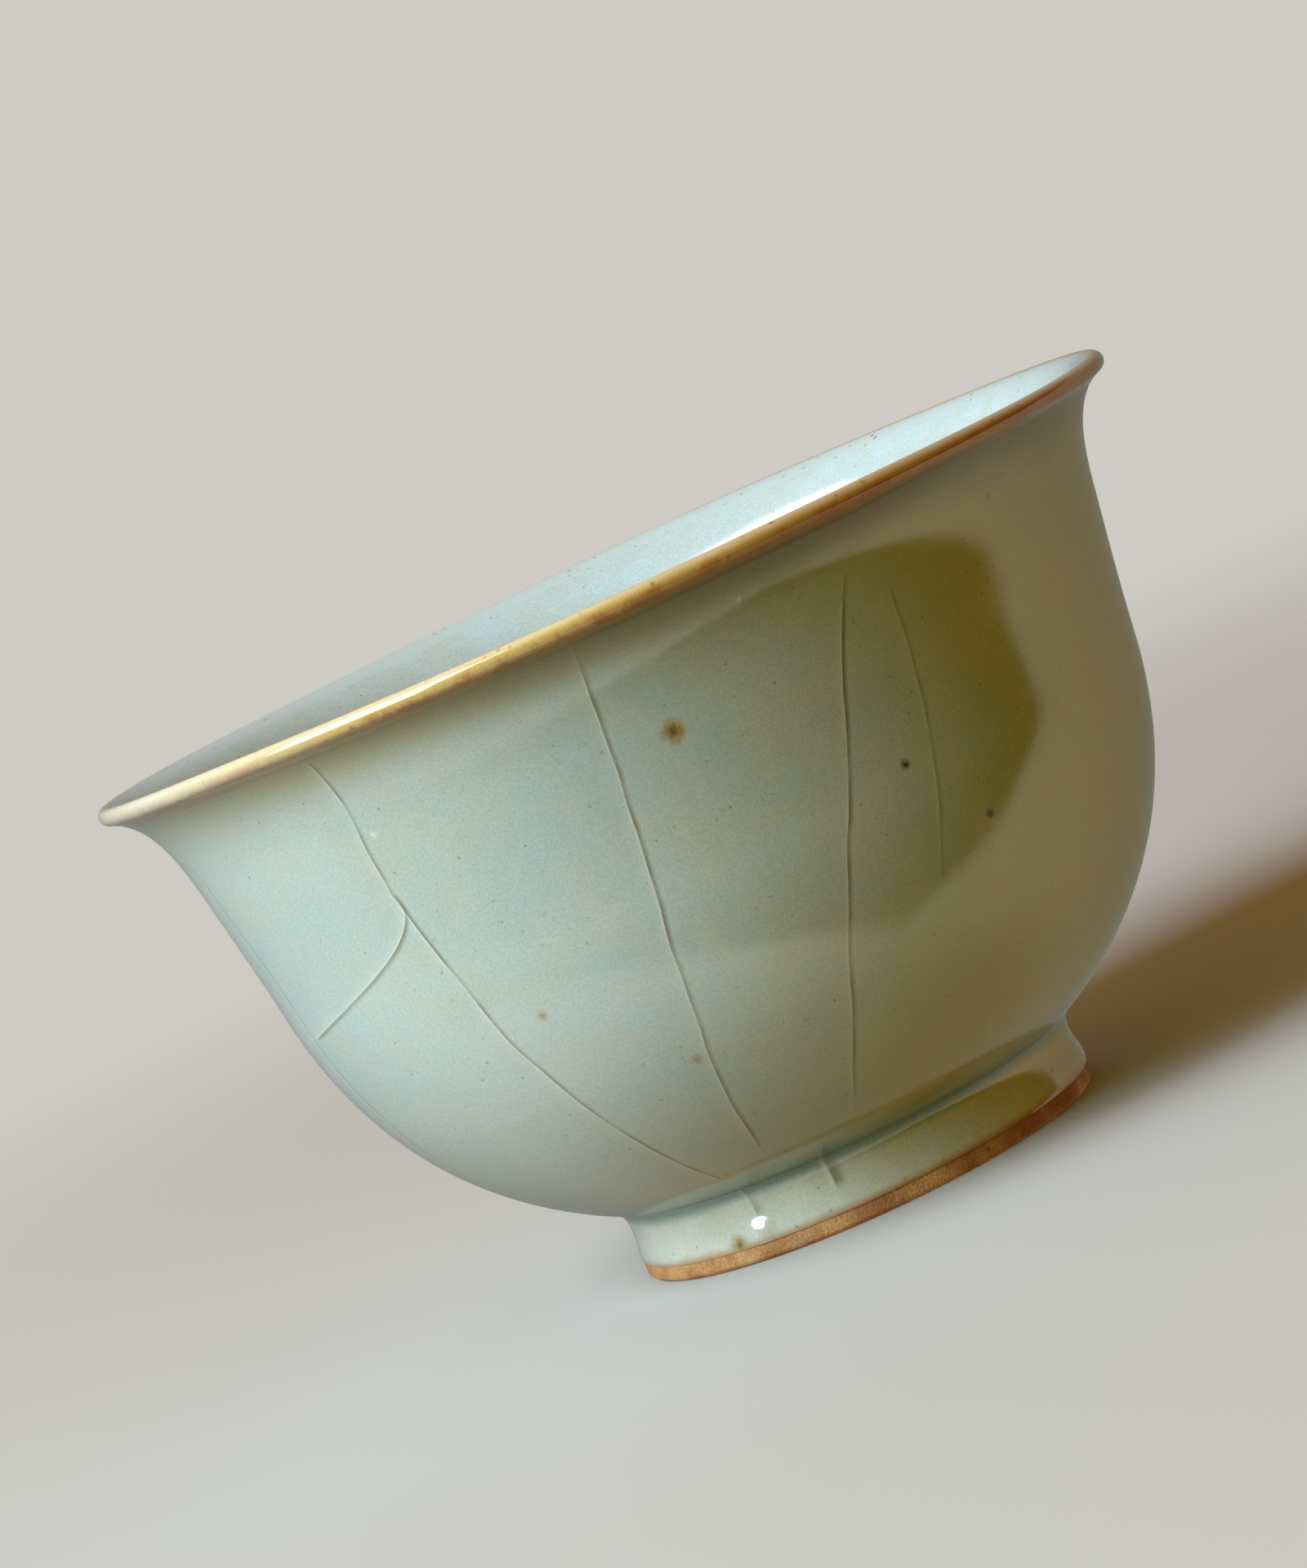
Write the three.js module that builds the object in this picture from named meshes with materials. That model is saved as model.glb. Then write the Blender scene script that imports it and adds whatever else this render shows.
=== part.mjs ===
// A small wheel-thrown celadon cup: flared lip, rounded lower wall and turned foot ring.
// Millimetres, +Z up. The origin is at the centre of the foot's standing face.
//
// Every fired layer is a closed ring or disc of its own: the clay bowl, the clay foot ring, the
// glaze skins on them and the iron-dressed lip. Layers that touch share the points between them.

import * as THREE from 'three';

// ---- Driving dimensions --------------------------------------------------------------

// Overall, over the glaze
const CUP_HEIGHT = 51.3;
const RIM_RADIUS = 42.5;

// Outside of the bowl, over the glaze
const BELLY_RADIUS = 36.1;
const BELLY_HEIGHT = 30.5;
const NECK_RADIUS = 37.9;
const LIP_FLARE_HEIGHT = 9.1;

// Clay thickness of the bowl
const FLOOR_CLAY = 3.4;
const BELLY_CLAY = 2.4;
const NECK_CLAY = 1.6;
const LIP_CLAY = 0.84;

// Foot ring, in bare clay
const FOOT_RADIUS = 19.05;
const FOOT_HEIGHT = 5.3;
const FOOT_WALL = 3.4;
const FOOT_WAIST = 0.85;
const FOOT_EDGE = 0.45;
const BARE_FOOT_HEIGHT = 1.3;

// Glaze skins, and the iron-dressed edge of the lip
const GLAZE = 0.45;
const LIP_GLAZE = 0.28;
const POOL_REACH = 1.4;
const POOL_RISE = 0.6;
const LIP_BAND_DROP = 1.5;

// How far each place on the outside leans out from straight up, in degrees
const HIP_LEAN = 62;
const BELLY_LEAN = 7;
const NECK_LEAN = 9.3;
const LIP_LEAN = 70;

// Facets round the cup, and steps along each curve of the outline
const SEGMENTS = 48;
const HIP_STEPS = 6;
const WALL_STEPS = 2;
const FLARE_STEPS = 6;
const FLOOR_STEPS = 6;
const LIP_STEPS = 6;
const FOOT_STEPS = 3;

// ---- Outlines ------------------------------------------------------------------------

const point = (radius, height) => new THREE.Vector2(radius, height);

// The direction that leans out from straight up by the given degrees.
function leaning(degrees) {
  const angle = THREE.MathUtils.degToRad(degrees);
  return point(Math.sin(angle), Math.cos(angle));
}

// A smooth curve that leaves start at one lean and reaches end at another. The pulls are shares
// of the straight distance between the two, and say how far each lean carries.
function smooth(start, startLean, startPull, end, endLean, endPull) {
  const reach = start.distanceTo(end);
  const leave = start.clone().addScaledVector(leaning(startLean), startPull * reach);
  const arrive = end.clone().addScaledVector(leaning(endLean), -endPull * reach);
  return new THREE.CubicBezierCurve(start, leave, arrive, end);
}

// Shares from 0 to 1 in equal steps, moved on to run between two values.
function spread(from, to, steps) {
  return Array.from({ length: steps + 1 }, (_, i) => THREE.MathUtils.lerp(from, to, i / steps));
}

// Stations along a curve: each has its place, and the direction square to it, away from the wall.
function stations(curve, shares) {
  return shares.map((share) => {
    const tangent = curve.getTangentAt(share);
    return { at: curve.getPointAt(share), out: point(tangent.y, -tangent.x) };
  });
}

// Joins lists that follow on from each other, dropping the entry that the next one repeats.
const chain = (first, ...rest) => rest.reduce((all, next) => all.concat(next.slice(1)), first);

// The points that lie under the stations, each at its own depth.
function under(line, depths) {
  return line.map(({ at, out }, i) => at.clone().addScaledVector(out, -depths[i]));
}

// Points of a half-round edge that starts at one side and turns over the top to the other.
function overTheTop(side, otherSide, steps) {
  const middle = side.clone().lerp(otherSide, 0.5);
  return spread(0, Math.PI, steps).slice(1, -1).map((turn) => side.clone().rotateAround(middle, turn));
}

// Turns a closed outline round the upright axis. It runs anticlockwise, with radius to the right.
function turned(outline) {
  const meetsAxis = outline[0].x === 0;
  const closed = meetsAxis ? outline : [...outline, outline[0].clone()];
  return new THREE.LatheGeometry(closed, SEGMENTS).rotateX(Math.PI / 2);
}

// ---- Places where layers meet --------------------------------------------------------

const waistRadius = FOOT_RADIUS - FOOT_WAIST;
const wellRadius = FOOT_RADIUS - FOOT_WALL;

// The corner of clay under the bowl, and the surface of the glaze that pools in it.
const clayCorner = point(waistRadius, FOOT_HEIGHT);
const poolSurface = point(waistRadius + POOL_REACH, FOOT_HEIGHT + POOL_RISE);

// The lip is a half-round edge, so its middle lies half its thickness in from the rim and the top.
const lipHalf = LIP_CLAY / 2 + LIP_GLAZE;
const lipMiddle = point(RIM_RADIUS - lipHalf, CUP_HEIGHT - lipHalf);
const lipSquare = point(leaning(LIP_LEAN).y, -leaning(LIP_LEAN).x);
const lipOutside = lipMiddle.clone().addScaledVector(lipSquare, lipHalf);

// ---- Outside of the bowl, from the foot to the lip -----------------------------------

const belly = point(BELLY_RADIUS, BELLY_HEIGHT);
const neck = point(NECK_RADIUS, CUP_HEIGHT - LIP_FLARE_HEIGHT);
const hipCurve = smooth(poolSurface, HIP_LEAN, 0.37, belly, BELLY_LEAN, 0.37);
const wallCurve = smooth(belly, BELLY_LEAN, 0.33, neck, NECK_LEAN, 0.33);
const flareCurve = smooth(neck, NECK_LEAN, 0.44, lipOutside, LIP_LEAN, 0.3);
const bandShare = 1 - LIP_BAND_DROP / flareCurve.getLength();

const hip = stations(hipCurve, spread(0, 1, HIP_STEPS));
const wall = stations(wallCurve, spread(0, 1, WALL_STEPS));
const flare = stations(flareCurve, [...spread(0, bandShare, FLARE_STEPS), 1]);
const upper = chain(wall, flare);

// Glaze and clay thickness at each station of the upper wall.
const flareShares = [...spread(0, bandShare, FLARE_STEPS), 1];
const glazeDepth = chain(
  spread(GLAZE, GLAZE, WALL_STEPS),
  flareShares.map((share) => THREE.MathUtils.lerp(GLAZE, LIP_GLAZE, share)),
);
const clayDepth = chain(
  spread(BELLY_CLAY, NECK_CLAY, WALL_STEPS),
  flareShares.map((share) => THREE.MathUtils.lerp(NECK_CLAY, LIP_CLAY, share)),
);
const sumAt = (...terms) => upper.map((_, i) => terms.reduce((sum, list) => sum + list[i], 0));

// The four surfaces of the upper wall, each from the belly to the lip.
const outerSurface = upper.map(({ at }) => at);
const outerClay = under(upper, glazeDepth);
const innerClay = under(upper, sumAt(glazeDepth, clayDepth));
const innerSurface = under(upper, sumAt(glazeDepth, clayDepth, glazeDepth));

// The two surfaces of the lower outside, each from the foot to the belly.
const hipSurface = hip.map(({ at }) => at);
const hipClay = [clayCorner, ...under(hip, hip.map(() => GLAZE)).slice(1)];

// ---- Inside of the bowl, from the middle of the floor to the belly -------------------

const floorMiddle = point(0, FOOT_HEIGHT + FLOOR_CLAY);
const floorCurve = smooth(floorMiddle, 90, 0.6, innerClay[0], BELLY_LEAN, 0.38);
const floor = stations(floorCurve, spread(0, 1, FLOOR_STEPS));
const floorClay = [floorMiddle, ...floor.slice(1).map(({ at }) => at)];
const floorSurface = [
  point(0, floorMiddle.y + GLAZE),
  ...under(floor, floor.map(() => GLAZE)).slice(1),
];

// ---- The lip band's lower edges ------------------------------------------------------

const bandStart = upper.length - 2;
const belowBand = (line) => line.slice(0, bandStart + 1);
const alongBand = (line) => line.slice(bandStart);
const lipEnd = (line) => line[line.length - 1];

// ---- The layers ----------------------------------------------------------------------

function clayBowl() {
  return turned([
    point(0, FOOT_HEIGHT),
    ...chain(hipClay, outerClay),
    ...overTheTop(lipEnd(outerClay), lipEnd(innerClay), LIP_STEPS),
    ...chain([...innerClay].reverse(), [...floorClay].reverse()),
  ]);
}

function outerGlaze() {
  return turned([
    ...chain(hipSurface, belowBand(outerSurface)),
    ...chain(hipClay, belowBand(outerClay)).reverse(),
  ]);
}

function innerGlaze() {
  return turned([
    ...chain(floorClay, belowBand(innerClay)),
    ...chain(floorSurface, belowBand(innerSurface)).reverse(),
  ]);
}

function lipIronBand() {
  return turned([
    ...alongBand(outerSurface),
    ...overTheTop(lipEnd(outerSurface), lipEnd(innerSurface), LIP_STEPS),
    ...alongBand(innerSurface).reverse(),
    ...alongBand(innerClay),
    ...overTheTop(lipEnd(outerClay), lipEnd(innerClay), LIP_STEPS).reverse(),
    ...alongBand(outerClay).reverse(),
  ]);
}

// The foot ring's glazed side, in clay, from the bare edge up to the corner under the bowl.
const bareTop = point(FOOT_RADIUS - FOOT_EDGE / 4, BARE_FOOT_HEIGHT);
const footSide = smooth(bareTop, -14, 0.4, clayCorner, 0, 0.4).getPoints(FOOT_STEPS);

function clayFootRing() {
  return turned([
    point(wellRadius + FOOT_EDGE, 0),
    point(FOOT_RADIUS - FOOT_EDGE, 0),
    point(FOOT_RADIUS, FOOT_EDGE),
    ...footSide,
    point(wellRadius, FOOT_HEIGHT),
    point(wellRadius, FOOT_EDGE),
  ]);
}

function footGlaze() {
  const swell = point(bareTop.x + GLAZE / 4, bareTop.y + GLAZE);
  const surface = smooth(swell, -20, 0.4, poolSurface, 50, 0.3).getPoints(FOOT_STEPS + 1);
  return turned([...surface, ...[...footSide].reverse()]);
}

function footWellGlaze() {
  const skinRadius = wellRadius - GLAZE;
  const skinHeight = FOOT_HEIGHT - GLAZE;
  return turned([
    point(0, skinHeight),
    point(skinRadius - GLAZE, skinHeight),
    point(skinRadius, skinHeight - GLAZE),
    point(skinRadius, BARE_FOOT_HEIGHT + GLAZE),
    point(wellRadius, BARE_FOOT_HEIGHT),
    point(wellRadius, FOOT_HEIGHT),
    point(0, FOOT_HEIGHT),
  ]);
}

// ---- The cup -------------------------------------------------------------------------

const LAYERS = [
  { name: 'clay_bowl', shape: clayBowl, color: 0xcfc6b2, roughness: 0.8 },
  { name: 'clay_foot_ring', shape: clayFootRing, color: 0xb57a35, roughness: 0.75 },
  { name: 'outer_glaze', shape: outerGlaze, color: 0xa9b8ab, roughness: 0.12 },
  { name: 'inner_glaze', shape: innerGlaze, color: 0xbccbc8, roughness: 0.12 },
  { name: 'foot_glaze', shape: footGlaze, color: 0x93b0ab, roughness: 0.12 },
  { name: 'foot_well_glaze', shape: footWellGlaze, color: 0xa3b4a6, roughness: 0.15 },
  { name: 'lip_iron_band', shape: lipIronBand, color: 0xc49a58, roughness: 0.2 },
];

const cup = new THREE.Group();
for (const { name, shape, color, roughness } of LAYERS) {
  const finish = new THREE.MeshStandardMaterial({ color, roughness, metalness: 0 });
  const layer = new THREE.Mesh(shape(), finish);
  layer.name = name;
  cup.add(layer);
}

export default cup;
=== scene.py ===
"""A small celadon tea cup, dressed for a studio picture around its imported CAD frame.

The cup is one fired body of bonded layers: clay bowl, clay foot ring, glaze skins and an
iron-dressed lip. Every layer is turned here as a fine closed skin in the place of its CAD node,
then finished with procedural glaze, crackle, iron specks and toasted clay.
"""

import logging
import math
from dataclasses import dataclass, field
from enum import Enum
from typing import Callable, Optional, Sequence, Union

import bmesh
import bpy
from mathutils import Matrix, Vector
from mathutils.geometry import interpolate_bezier


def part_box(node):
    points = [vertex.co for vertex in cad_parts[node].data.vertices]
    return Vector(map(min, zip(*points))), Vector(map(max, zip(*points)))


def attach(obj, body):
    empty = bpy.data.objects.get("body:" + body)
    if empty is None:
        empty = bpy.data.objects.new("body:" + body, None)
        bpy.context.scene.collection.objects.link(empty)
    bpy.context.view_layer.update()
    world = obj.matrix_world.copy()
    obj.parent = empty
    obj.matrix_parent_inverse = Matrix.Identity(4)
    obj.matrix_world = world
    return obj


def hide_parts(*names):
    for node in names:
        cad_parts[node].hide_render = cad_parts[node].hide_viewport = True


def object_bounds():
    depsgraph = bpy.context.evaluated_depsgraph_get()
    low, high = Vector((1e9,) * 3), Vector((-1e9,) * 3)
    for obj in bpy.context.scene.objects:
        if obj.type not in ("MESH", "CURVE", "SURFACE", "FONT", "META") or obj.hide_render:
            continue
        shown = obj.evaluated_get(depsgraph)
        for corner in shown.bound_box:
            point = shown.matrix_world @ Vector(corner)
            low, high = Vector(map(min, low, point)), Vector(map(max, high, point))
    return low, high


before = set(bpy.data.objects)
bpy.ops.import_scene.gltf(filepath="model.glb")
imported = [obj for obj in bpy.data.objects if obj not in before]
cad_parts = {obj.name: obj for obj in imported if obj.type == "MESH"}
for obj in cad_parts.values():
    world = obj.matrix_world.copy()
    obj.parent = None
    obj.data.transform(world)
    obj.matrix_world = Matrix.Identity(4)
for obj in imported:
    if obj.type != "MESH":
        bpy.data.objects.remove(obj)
CAD_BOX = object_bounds()

log = logging.getLogger("celadon_cup")

MM = 0.001
TINY = 1e-7
LEVEL = 90.0
SEED_STEP = 3.7

Socket = bpy.types.NodeSocket
Value = Union[float, Socket]
Colour = tuple[float, float, float]
Outline = list[Vector]
Span = tuple[float, float]


# ---------------------------------------------------------------------------------------
# Outlines: points are Vectors of (radius, 0, height)
# ---------------------------------------------------------------------------------------


def leaning(degrees: float) -> Vector:
    """Return the direction that leans out from straight up by the given degrees."""
    angle = math.radians(degrees)
    return Vector((math.sin(angle), 0.0, math.cos(angle)))


def place(radius: float, height: float) -> Vector:
    """Return the outline point at a radius and a height."""
    return Vector((radius, 0.0, height))


@dataclass(frozen=True)
class Bend:
    """One end of a smooth curve: where it is, which way it leans and how far that carries.

    The pull is a share of the straight distance to the curve's other end.
    """

    at: Vector
    lean: float
    pull: float


@dataclass(frozen=True)
class Station:
    """A place on a curve, with the direction square to it that points out of the wall."""

    at: Vector
    out: Vector

    def under(self, depth: float) -> Vector:
        """Return the point that lies this deep below the surface."""
        return self.at - self.out * depth


def stations(start: Bend, end: Bend, steps: int) -> list[Station]:
    """Sample a smooth curve between two bends.

    Args:
        start: The end that the curve leaves.
        end: The end that the curve reaches.
        steps: The number of equal steps along it.

    Returns:
        The stations from start to end, one more than the steps.
    """
    reach = (end.at - start.at).length
    leave = start.at + leaning(start.lean) * start.pull * reach
    arrive = end.at - leaning(end.lean) * end.pull * reach
    points = interpolate_bezier(start.at, leave, arrive, end.at, steps + 1)
    found = []
    for i, point in enumerate(points):
        ahead = points[min(i + 1, steps)]
        behind = points[max(i - 1, 0)]
        along = (ahead - behind).normalized()
        if i == 0:
            along = leaning(start.lean)
        if i == steps:
            along = leaning(end.lean)
        found.append(Station(point, Vector((along.z, 0.0, -along.x))))
    return found


def half_round(side: Vector, other_side: Vector, steps: int) -> Outline:
    """Round off an edge with a half circle.

    Args:
        side: The point where the round starts.
        other_side: The point where it ends.
        steps: The number of steps over it.

    Returns:
        The points between the two sides, over the top.
    """
    middle = (side + other_side) / 2
    arm = side - middle
    over = Vector((-arm.z, 0.0, arm.x))
    turns = [math.pi * i / steps for i in range(1, steps)]
    return [middle + arm * math.cos(turn) + over * math.sin(turn) for turn in turns]


def mix(low: float, high: float, share: float) -> float:
    """Return the value a share of the way from low to high."""
    return low + (high - low) * share


def eased(share: float) -> float:
    """Return a share from 0 to 1 that starts and ends gently."""
    held = min(max(share, 0.0), 1.0)
    return held * held * (3 - 2 * held)


# ---------------------------------------------------------------------------------------
# The form of the cup
# ---------------------------------------------------------------------------------------


@dataclass
class CupForm:
    """The cup's sizes, in metres, and the outlines of the layers that share them.

    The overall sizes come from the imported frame; the rest are the turner's own.
    """

    height: float
    rim_radius: float
    foot_radius: float
    foot_height: float
    belly_radius: float = 36.1 * MM
    belly_height: float = 30.5 * MM
    neck_radius: float = 37.9 * MM
    lip_flare_height: float = 9.1 * MM
    floor_clay: float = 3.4 * MM
    belly_clay: float = 2.4 * MM
    neck_clay: float = 1.6 * MM
    lip_clay: float = 0.84 * MM
    foot_wall: float = 3.4 * MM
    foot_waist: float = 0.85 * MM
    foot_edge: float = 0.45 * MM
    bare_foot_height: float = 1.3 * MM
    glaze: float = 0.45 * MM
    lip_glaze: float = 0.28 * MM
    pool_reach: float = 1.4 * MM
    pool_rise: float = 0.6 * MM
    lip_band_drop: float = 1.5 * MM
    hip_lean: float = 62.0
    belly_lean: float = 7.0
    neck_lean: float = 9.3
    lip_lean: float = 70.0
    hip_pull: float = 0.37
    wall_pull: float = 0.33
    flare_pulls: Span = (0.44, 0.3)
    floor_pulls: Span = (0.6, 0.38)
    foot_side_lean: float = -14.0
    foot_side_pull: float = 0.4
    foot_glaze_leans: Span = (-6.0, 58.0)
    foot_glaze_pulls: Span = (0.3, 0.34)
    hip_steps: int = 44
    wall_steps: int = 20
    flare_steps: int = 22
    floor_steps: int = 48
    edge_steps: int = 12
    upper: list[Station] = field(init=False)
    hip: list[Station] = field(init=False)
    glaze_depth: list[float] = field(init=False)
    clay_depth: list[float] = field(init=False)
    band_start: int = field(init=False)

    @classmethod
    def from_frame(cls) -> "CupForm":
        """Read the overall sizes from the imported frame.

        Returns:
            The form, with the turner's own values.
        """
        top = CAD_BOX[1]
        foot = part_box("clay_foot_ring")[1]
        return cls(height=top[2], rim_radius=top[0], foot_radius=foot.x, foot_height=foot.z)

    def __post_init__(self) -> None:
        """Work out the stations that the layers share."""
        lean = leaning(self.lip_lean)
        square = Vector((lean.z, 0.0, -lean.x))
        lip_edge = self.lip_middle + square * self.lip_half
        belly = place(self.belly_radius, self.belly_height)
        neck = place(self.neck_radius, self.height - self.lip_flare_height)
        low = Bend(self.pool_surface, self.hip_lean, self.hip_pull)
        high = Bend(belly, self.belly_lean, self.hip_pull)
        self.hip = stations(low, high, self.hip_steps)
        low = Bend(belly, self.belly_lean, self.wall_pull)
        high = Bend(neck, self.neck_lean, self.wall_pull)
        wall = stations(low, high, self.wall_steps)
        low = Bend(neck, self.neck_lean, self.flare_pulls[0])
        high = Bend(lip_edge, self.lip_lean, self.flare_pulls[1])
        flare = stations(low, high, self.flare_steps)
        self.upper = wall + flare[1:]
        wall_shares = [i / self.wall_steps for i in range(self.wall_steps + 1)]
        flare_shares = [i / self.flare_steps for i in range(1, self.flare_steps + 1)]
        self.glaze_depth = [self.glaze for _ in wall_shares]
        self.glaze_depth += [mix(self.glaze, self.lip_glaze, share) for share in flare_shares]
        self.clay_depth = [mix(self.belly_clay, self.neck_clay, share) for share in wall_shares]
        self.clay_depth += [mix(self.neck_clay, self.lip_clay, share) for share in flare_shares]
        ways = [(station.at - self.upper[-1].at).length for station in self.upper]
        self.band_start = next(i for i, way in enumerate(ways) if way <= self.lip_band_drop)

    @property
    def lip_half(self) -> float:
        """Half the thickness of the finished lip."""
        return self.lip_clay / 2 + self.lip_glaze

    @property
    def lip_middle(self) -> Vector:
        """Centre of the lip's round."""
        return place(self.rim_radius - self.lip_half, self.height - self.lip_half)

    @property
    def waist_radius(self) -> float:
        """Radius of the foot ring's clay where it meets the bowl."""
        return self.foot_radius - self.foot_waist

    @property
    def well_radius(self) -> float:
        """Inner radius of the foot ring's clay."""
        return self.foot_radius - self.foot_wall

    @property
    def pool_surface(self) -> Vector:
        """Surface of the glaze that pools in the groove over the foot ring."""
        return place(self.waist_radius + self.pool_reach, self.foot_height + self.pool_rise)

    @property
    def clay_corner(self) -> Vector:
        """Corner of clay where the bowl and the foot ring meet."""
        return place(self.waist_radius, self.foot_height)

    @property
    def lower_clay(self) -> Outline:
        """Outside of the bowl's clay, from the foot to the belly."""
        return [self.clay_corner] + [station.under(self.glaze) for station in self.hip[1:]]

    def depth_line(self, glazes: int, clays: int) -> Outline:
        """Return one surface of the upper wall, from the belly to the lip.

        Args:
            glazes: How many glaze skins lie over it, counted from outside.
            clays: How many clay walls lie over it.

        Returns:
            The points of that surface.
        """
        return [
            station.under(glazes * glaze + clays * clay)
            for station, glaze, clay in zip(self.upper, self.glaze_depth, self.clay_depth)
        ]

    @property
    def floor(self) -> list[Station]:
        """Inside of the bowl's clay, from the middle of the floor to the belly.

        Returns:
            Its stations.
        """
        middle = Bend(place(0.0, self.foot_height + self.floor_clay), LEVEL, self.floor_pulls[0])
        belly = Bend(self.depth_line(1, 1)[0], self.belly_lean, self.floor_pulls[1])
        return stations(middle, belly, self.floor_steps)

    @property
    def foot_side(self) -> Outline:
        """Clay of the foot ring's glazed side, from its bare edge to the bowl.

        Returns:
            Its points, rising.
        """
        corner = place(self.foot_radius - self.foot_edge / 4, self.bare_foot_height)
        low = Bend(corner, self.foot_side_lean, self.foot_side_pull)
        high = Bend(self.clay_corner, 0.0, self.foot_side_pull)
        return [station.at for station in stations(low, high, self.edge_steps)]

    def bowl_clay(self) -> Outline:
        """Outline of the thrown clay bowl.

        Returns:
            Its closed outline.
        """
        outer = self.depth_line(1, 0)
        inner = self.depth_line(1, 1)
        return [
            place(0.0, self.foot_height),
            *self.lower_clay,
            *outer[1:],
            *half_round(outer[-1], inner[-1], self.edge_steps),
            *reversed(inner),
            *reversed([station.at for station in self.floor[:-1]]),
        ]

    def outside_glaze(self) -> Outline:
        """Outline of the glaze skin on the outside of the bowl.

        Returns:
            Its closed outline.
        """
        skin = [station.at for station in self.hip] + self.depth_line(0, 0)[1 : self.band_start + 1]
        clay = self.lower_clay + self.depth_line(1, 0)[1 : self.band_start + 1]
        return skin + clay[::-1]

    def inside_glaze(self) -> Outline:
        """Outline of the glaze skin on the inside of the bowl.

        Returns:
            Its closed outline.
        """
        floor = self.floor
        clay = [station.at for station in floor] + self.depth_line(1, 1)[1 : self.band_start + 1]
        skin = [place(0.0, floor[0].at.z + self.glaze)]
        skin += [station.under(self.glaze) for station in floor[1:-1]]
        skin += self.depth_line(2, 1)[: self.band_start + 1]
        return clay + skin[::-1]

    def lip_band(self) -> Outline:
        """Outline of the iron-dressed cap over the clay lip.

        Returns:
            Its closed outline.
        """
        layers = ((0, 0), (1, 0), (1, 1), (2, 1))
        outer, clay_out, clay_in, inner = (self.depth_line(*layer)[self.band_start :] for layer in layers)
        return [
            *outer,
            *half_round(outer[-1], inner[-1], 2 * self.edge_steps),
            *reversed(inner),
            *clay_in,
            *reversed(half_round(clay_out[-1], clay_in[-1], self.edge_steps)),
            *reversed(clay_out),
        ]

    def foot_ring_clay(self) -> Outline:
        """Outline of the turned foot ring.

        Returns:
            Its closed outline.
        """
        edge = self.foot_edge
        steps = self.edge_steps // 2
        inner_edge = quarter_round(place(self.well_radius + edge, edge), 180.0, 270.0, edge, steps)
        outer_edge = quarter_round(place(self.foot_radius - edge, edge), 270.0, 360.0, edge, steps)
        return [*inner_edge, *outer_edge, *self.foot_side, place(self.well_radius, self.foot_height)]

    @property
    def foot_glaze_surface(self) -> Outline:
        """Surface of the foot's outside glaze, from its roll to the pool in the groove.

        Returns:
            Its points, rising.
        """
        roll = self.glaze / 2
        swell = self.foot_side[0] + place(roll * 0.55, roll * 1.1)
        low = Bend(swell, self.foot_glaze_leans[0], self.foot_glaze_pulls[0])
        high = Bend(self.pool_surface, self.foot_glaze_leans[1], self.foot_glaze_pulls[1])
        return [station.at for station in stations(low, high, 2 * self.edge_steps)]

    def foot_ring_glaze(self) -> Outline:
        """Outline of the glaze on the foot ring's outside, with its pooled roll.

        Returns:
            Its closed outline.
        """
        bare = self.foot_side[0]
        roll = self.glaze / 2
        edge = [bare, bare + place(roll * 0.42, roll * 0.2)]
        return edge + self.foot_glaze_surface + self.foot_side[:0:-1]

    def foot_well_glaze(self) -> Outline:
        """Outline of the glaze under the floor and inside the foot ring.

        Returns:
            Its closed outline.
        """
        radius = self.well_radius - self.glaze
        height = self.foot_height - self.glaze
        fillet = 2 * self.glaze
        centre = place(radius - fillet, height - fillet)
        corner = quarter_round(centre, 90.0, 0.0, fillet, self.edge_steps)
        return [
            place(0.0, height),
            *[place(radius * share, height) for share in (0.3, 0.6, 0.85)],
            *corner,
            place(radius, self.bare_foot_height + self.glaze * 1.2),
            place(radius + self.glaze * 0.5, self.bare_foot_height + self.glaze * 0.15),
            place(self.well_radius, self.bare_foot_height),
            place(self.well_radius, self.foot_height),
            place(0.0, self.foot_height),
        ]


def quarter_round(centre: Vector, start: float, end: float, radius: float, steps: int) -> Outline:
    """Return the points of an arc about a centre, from one angle in degrees to another."""
    angles = [math.radians(mix(start, end, i / steps)) for i in range(steps + 1)]
    return [centre + place(math.cos(a), math.sin(a)) * radius for a in angles]


# ---------------------------------------------------------------------------------------
# Turning an outline into a skin
# ---------------------------------------------------------------------------------------


def linked(name: str, data: bpy.types.ID) -> bpy.types.Object:
    """Put a new object of a mesh, camera or light into the scene.

    Args:
        name: The object's name.
        data: Its mesh, camera or light.

    Returns:
        The object, at the origin.
    """
    thing = bpy.data.objects.new(name, data)
    bpy.context.scene.collection.objects.link(thing)
    return thing


def solid(name: str, bm: bmesh.types.BMesh) -> bpy.types.Object:
    """Make a mesh object of a finished bmesh, and free the bmesh.

    Args:
        name: The object's name and its mesh's.
        bm: The finished shape.

    Returns:
        The object, at the origin.
    """
    mesh = bpy.data.meshes.new(name)
    bm.to_mesh(mesh)
    bm.free()
    return linked(name, mesh)


@dataclass(frozen=True)
class Drip:
    """A bead of glaze that stands out from the foot: its angle in degrees, and its sizes in metres."""

    angle: float
    height: float
    radius: float
    lift: float

    def push(self, point: Vector) -> float:
        """Work out how far the bead stands out under a point.

        Args:
            point: A point of the surface.

        Returns:
            How far out the point moves.
        """
        turn = math.radians(self.angle)
        reach = math.hypot(point.x, point.y)
        middle = Vector((reach * math.sin(turn), -reach * math.cos(turn), self.height))
        return self.lift * (1 - eased((point - middle).length / self.radius))


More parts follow.
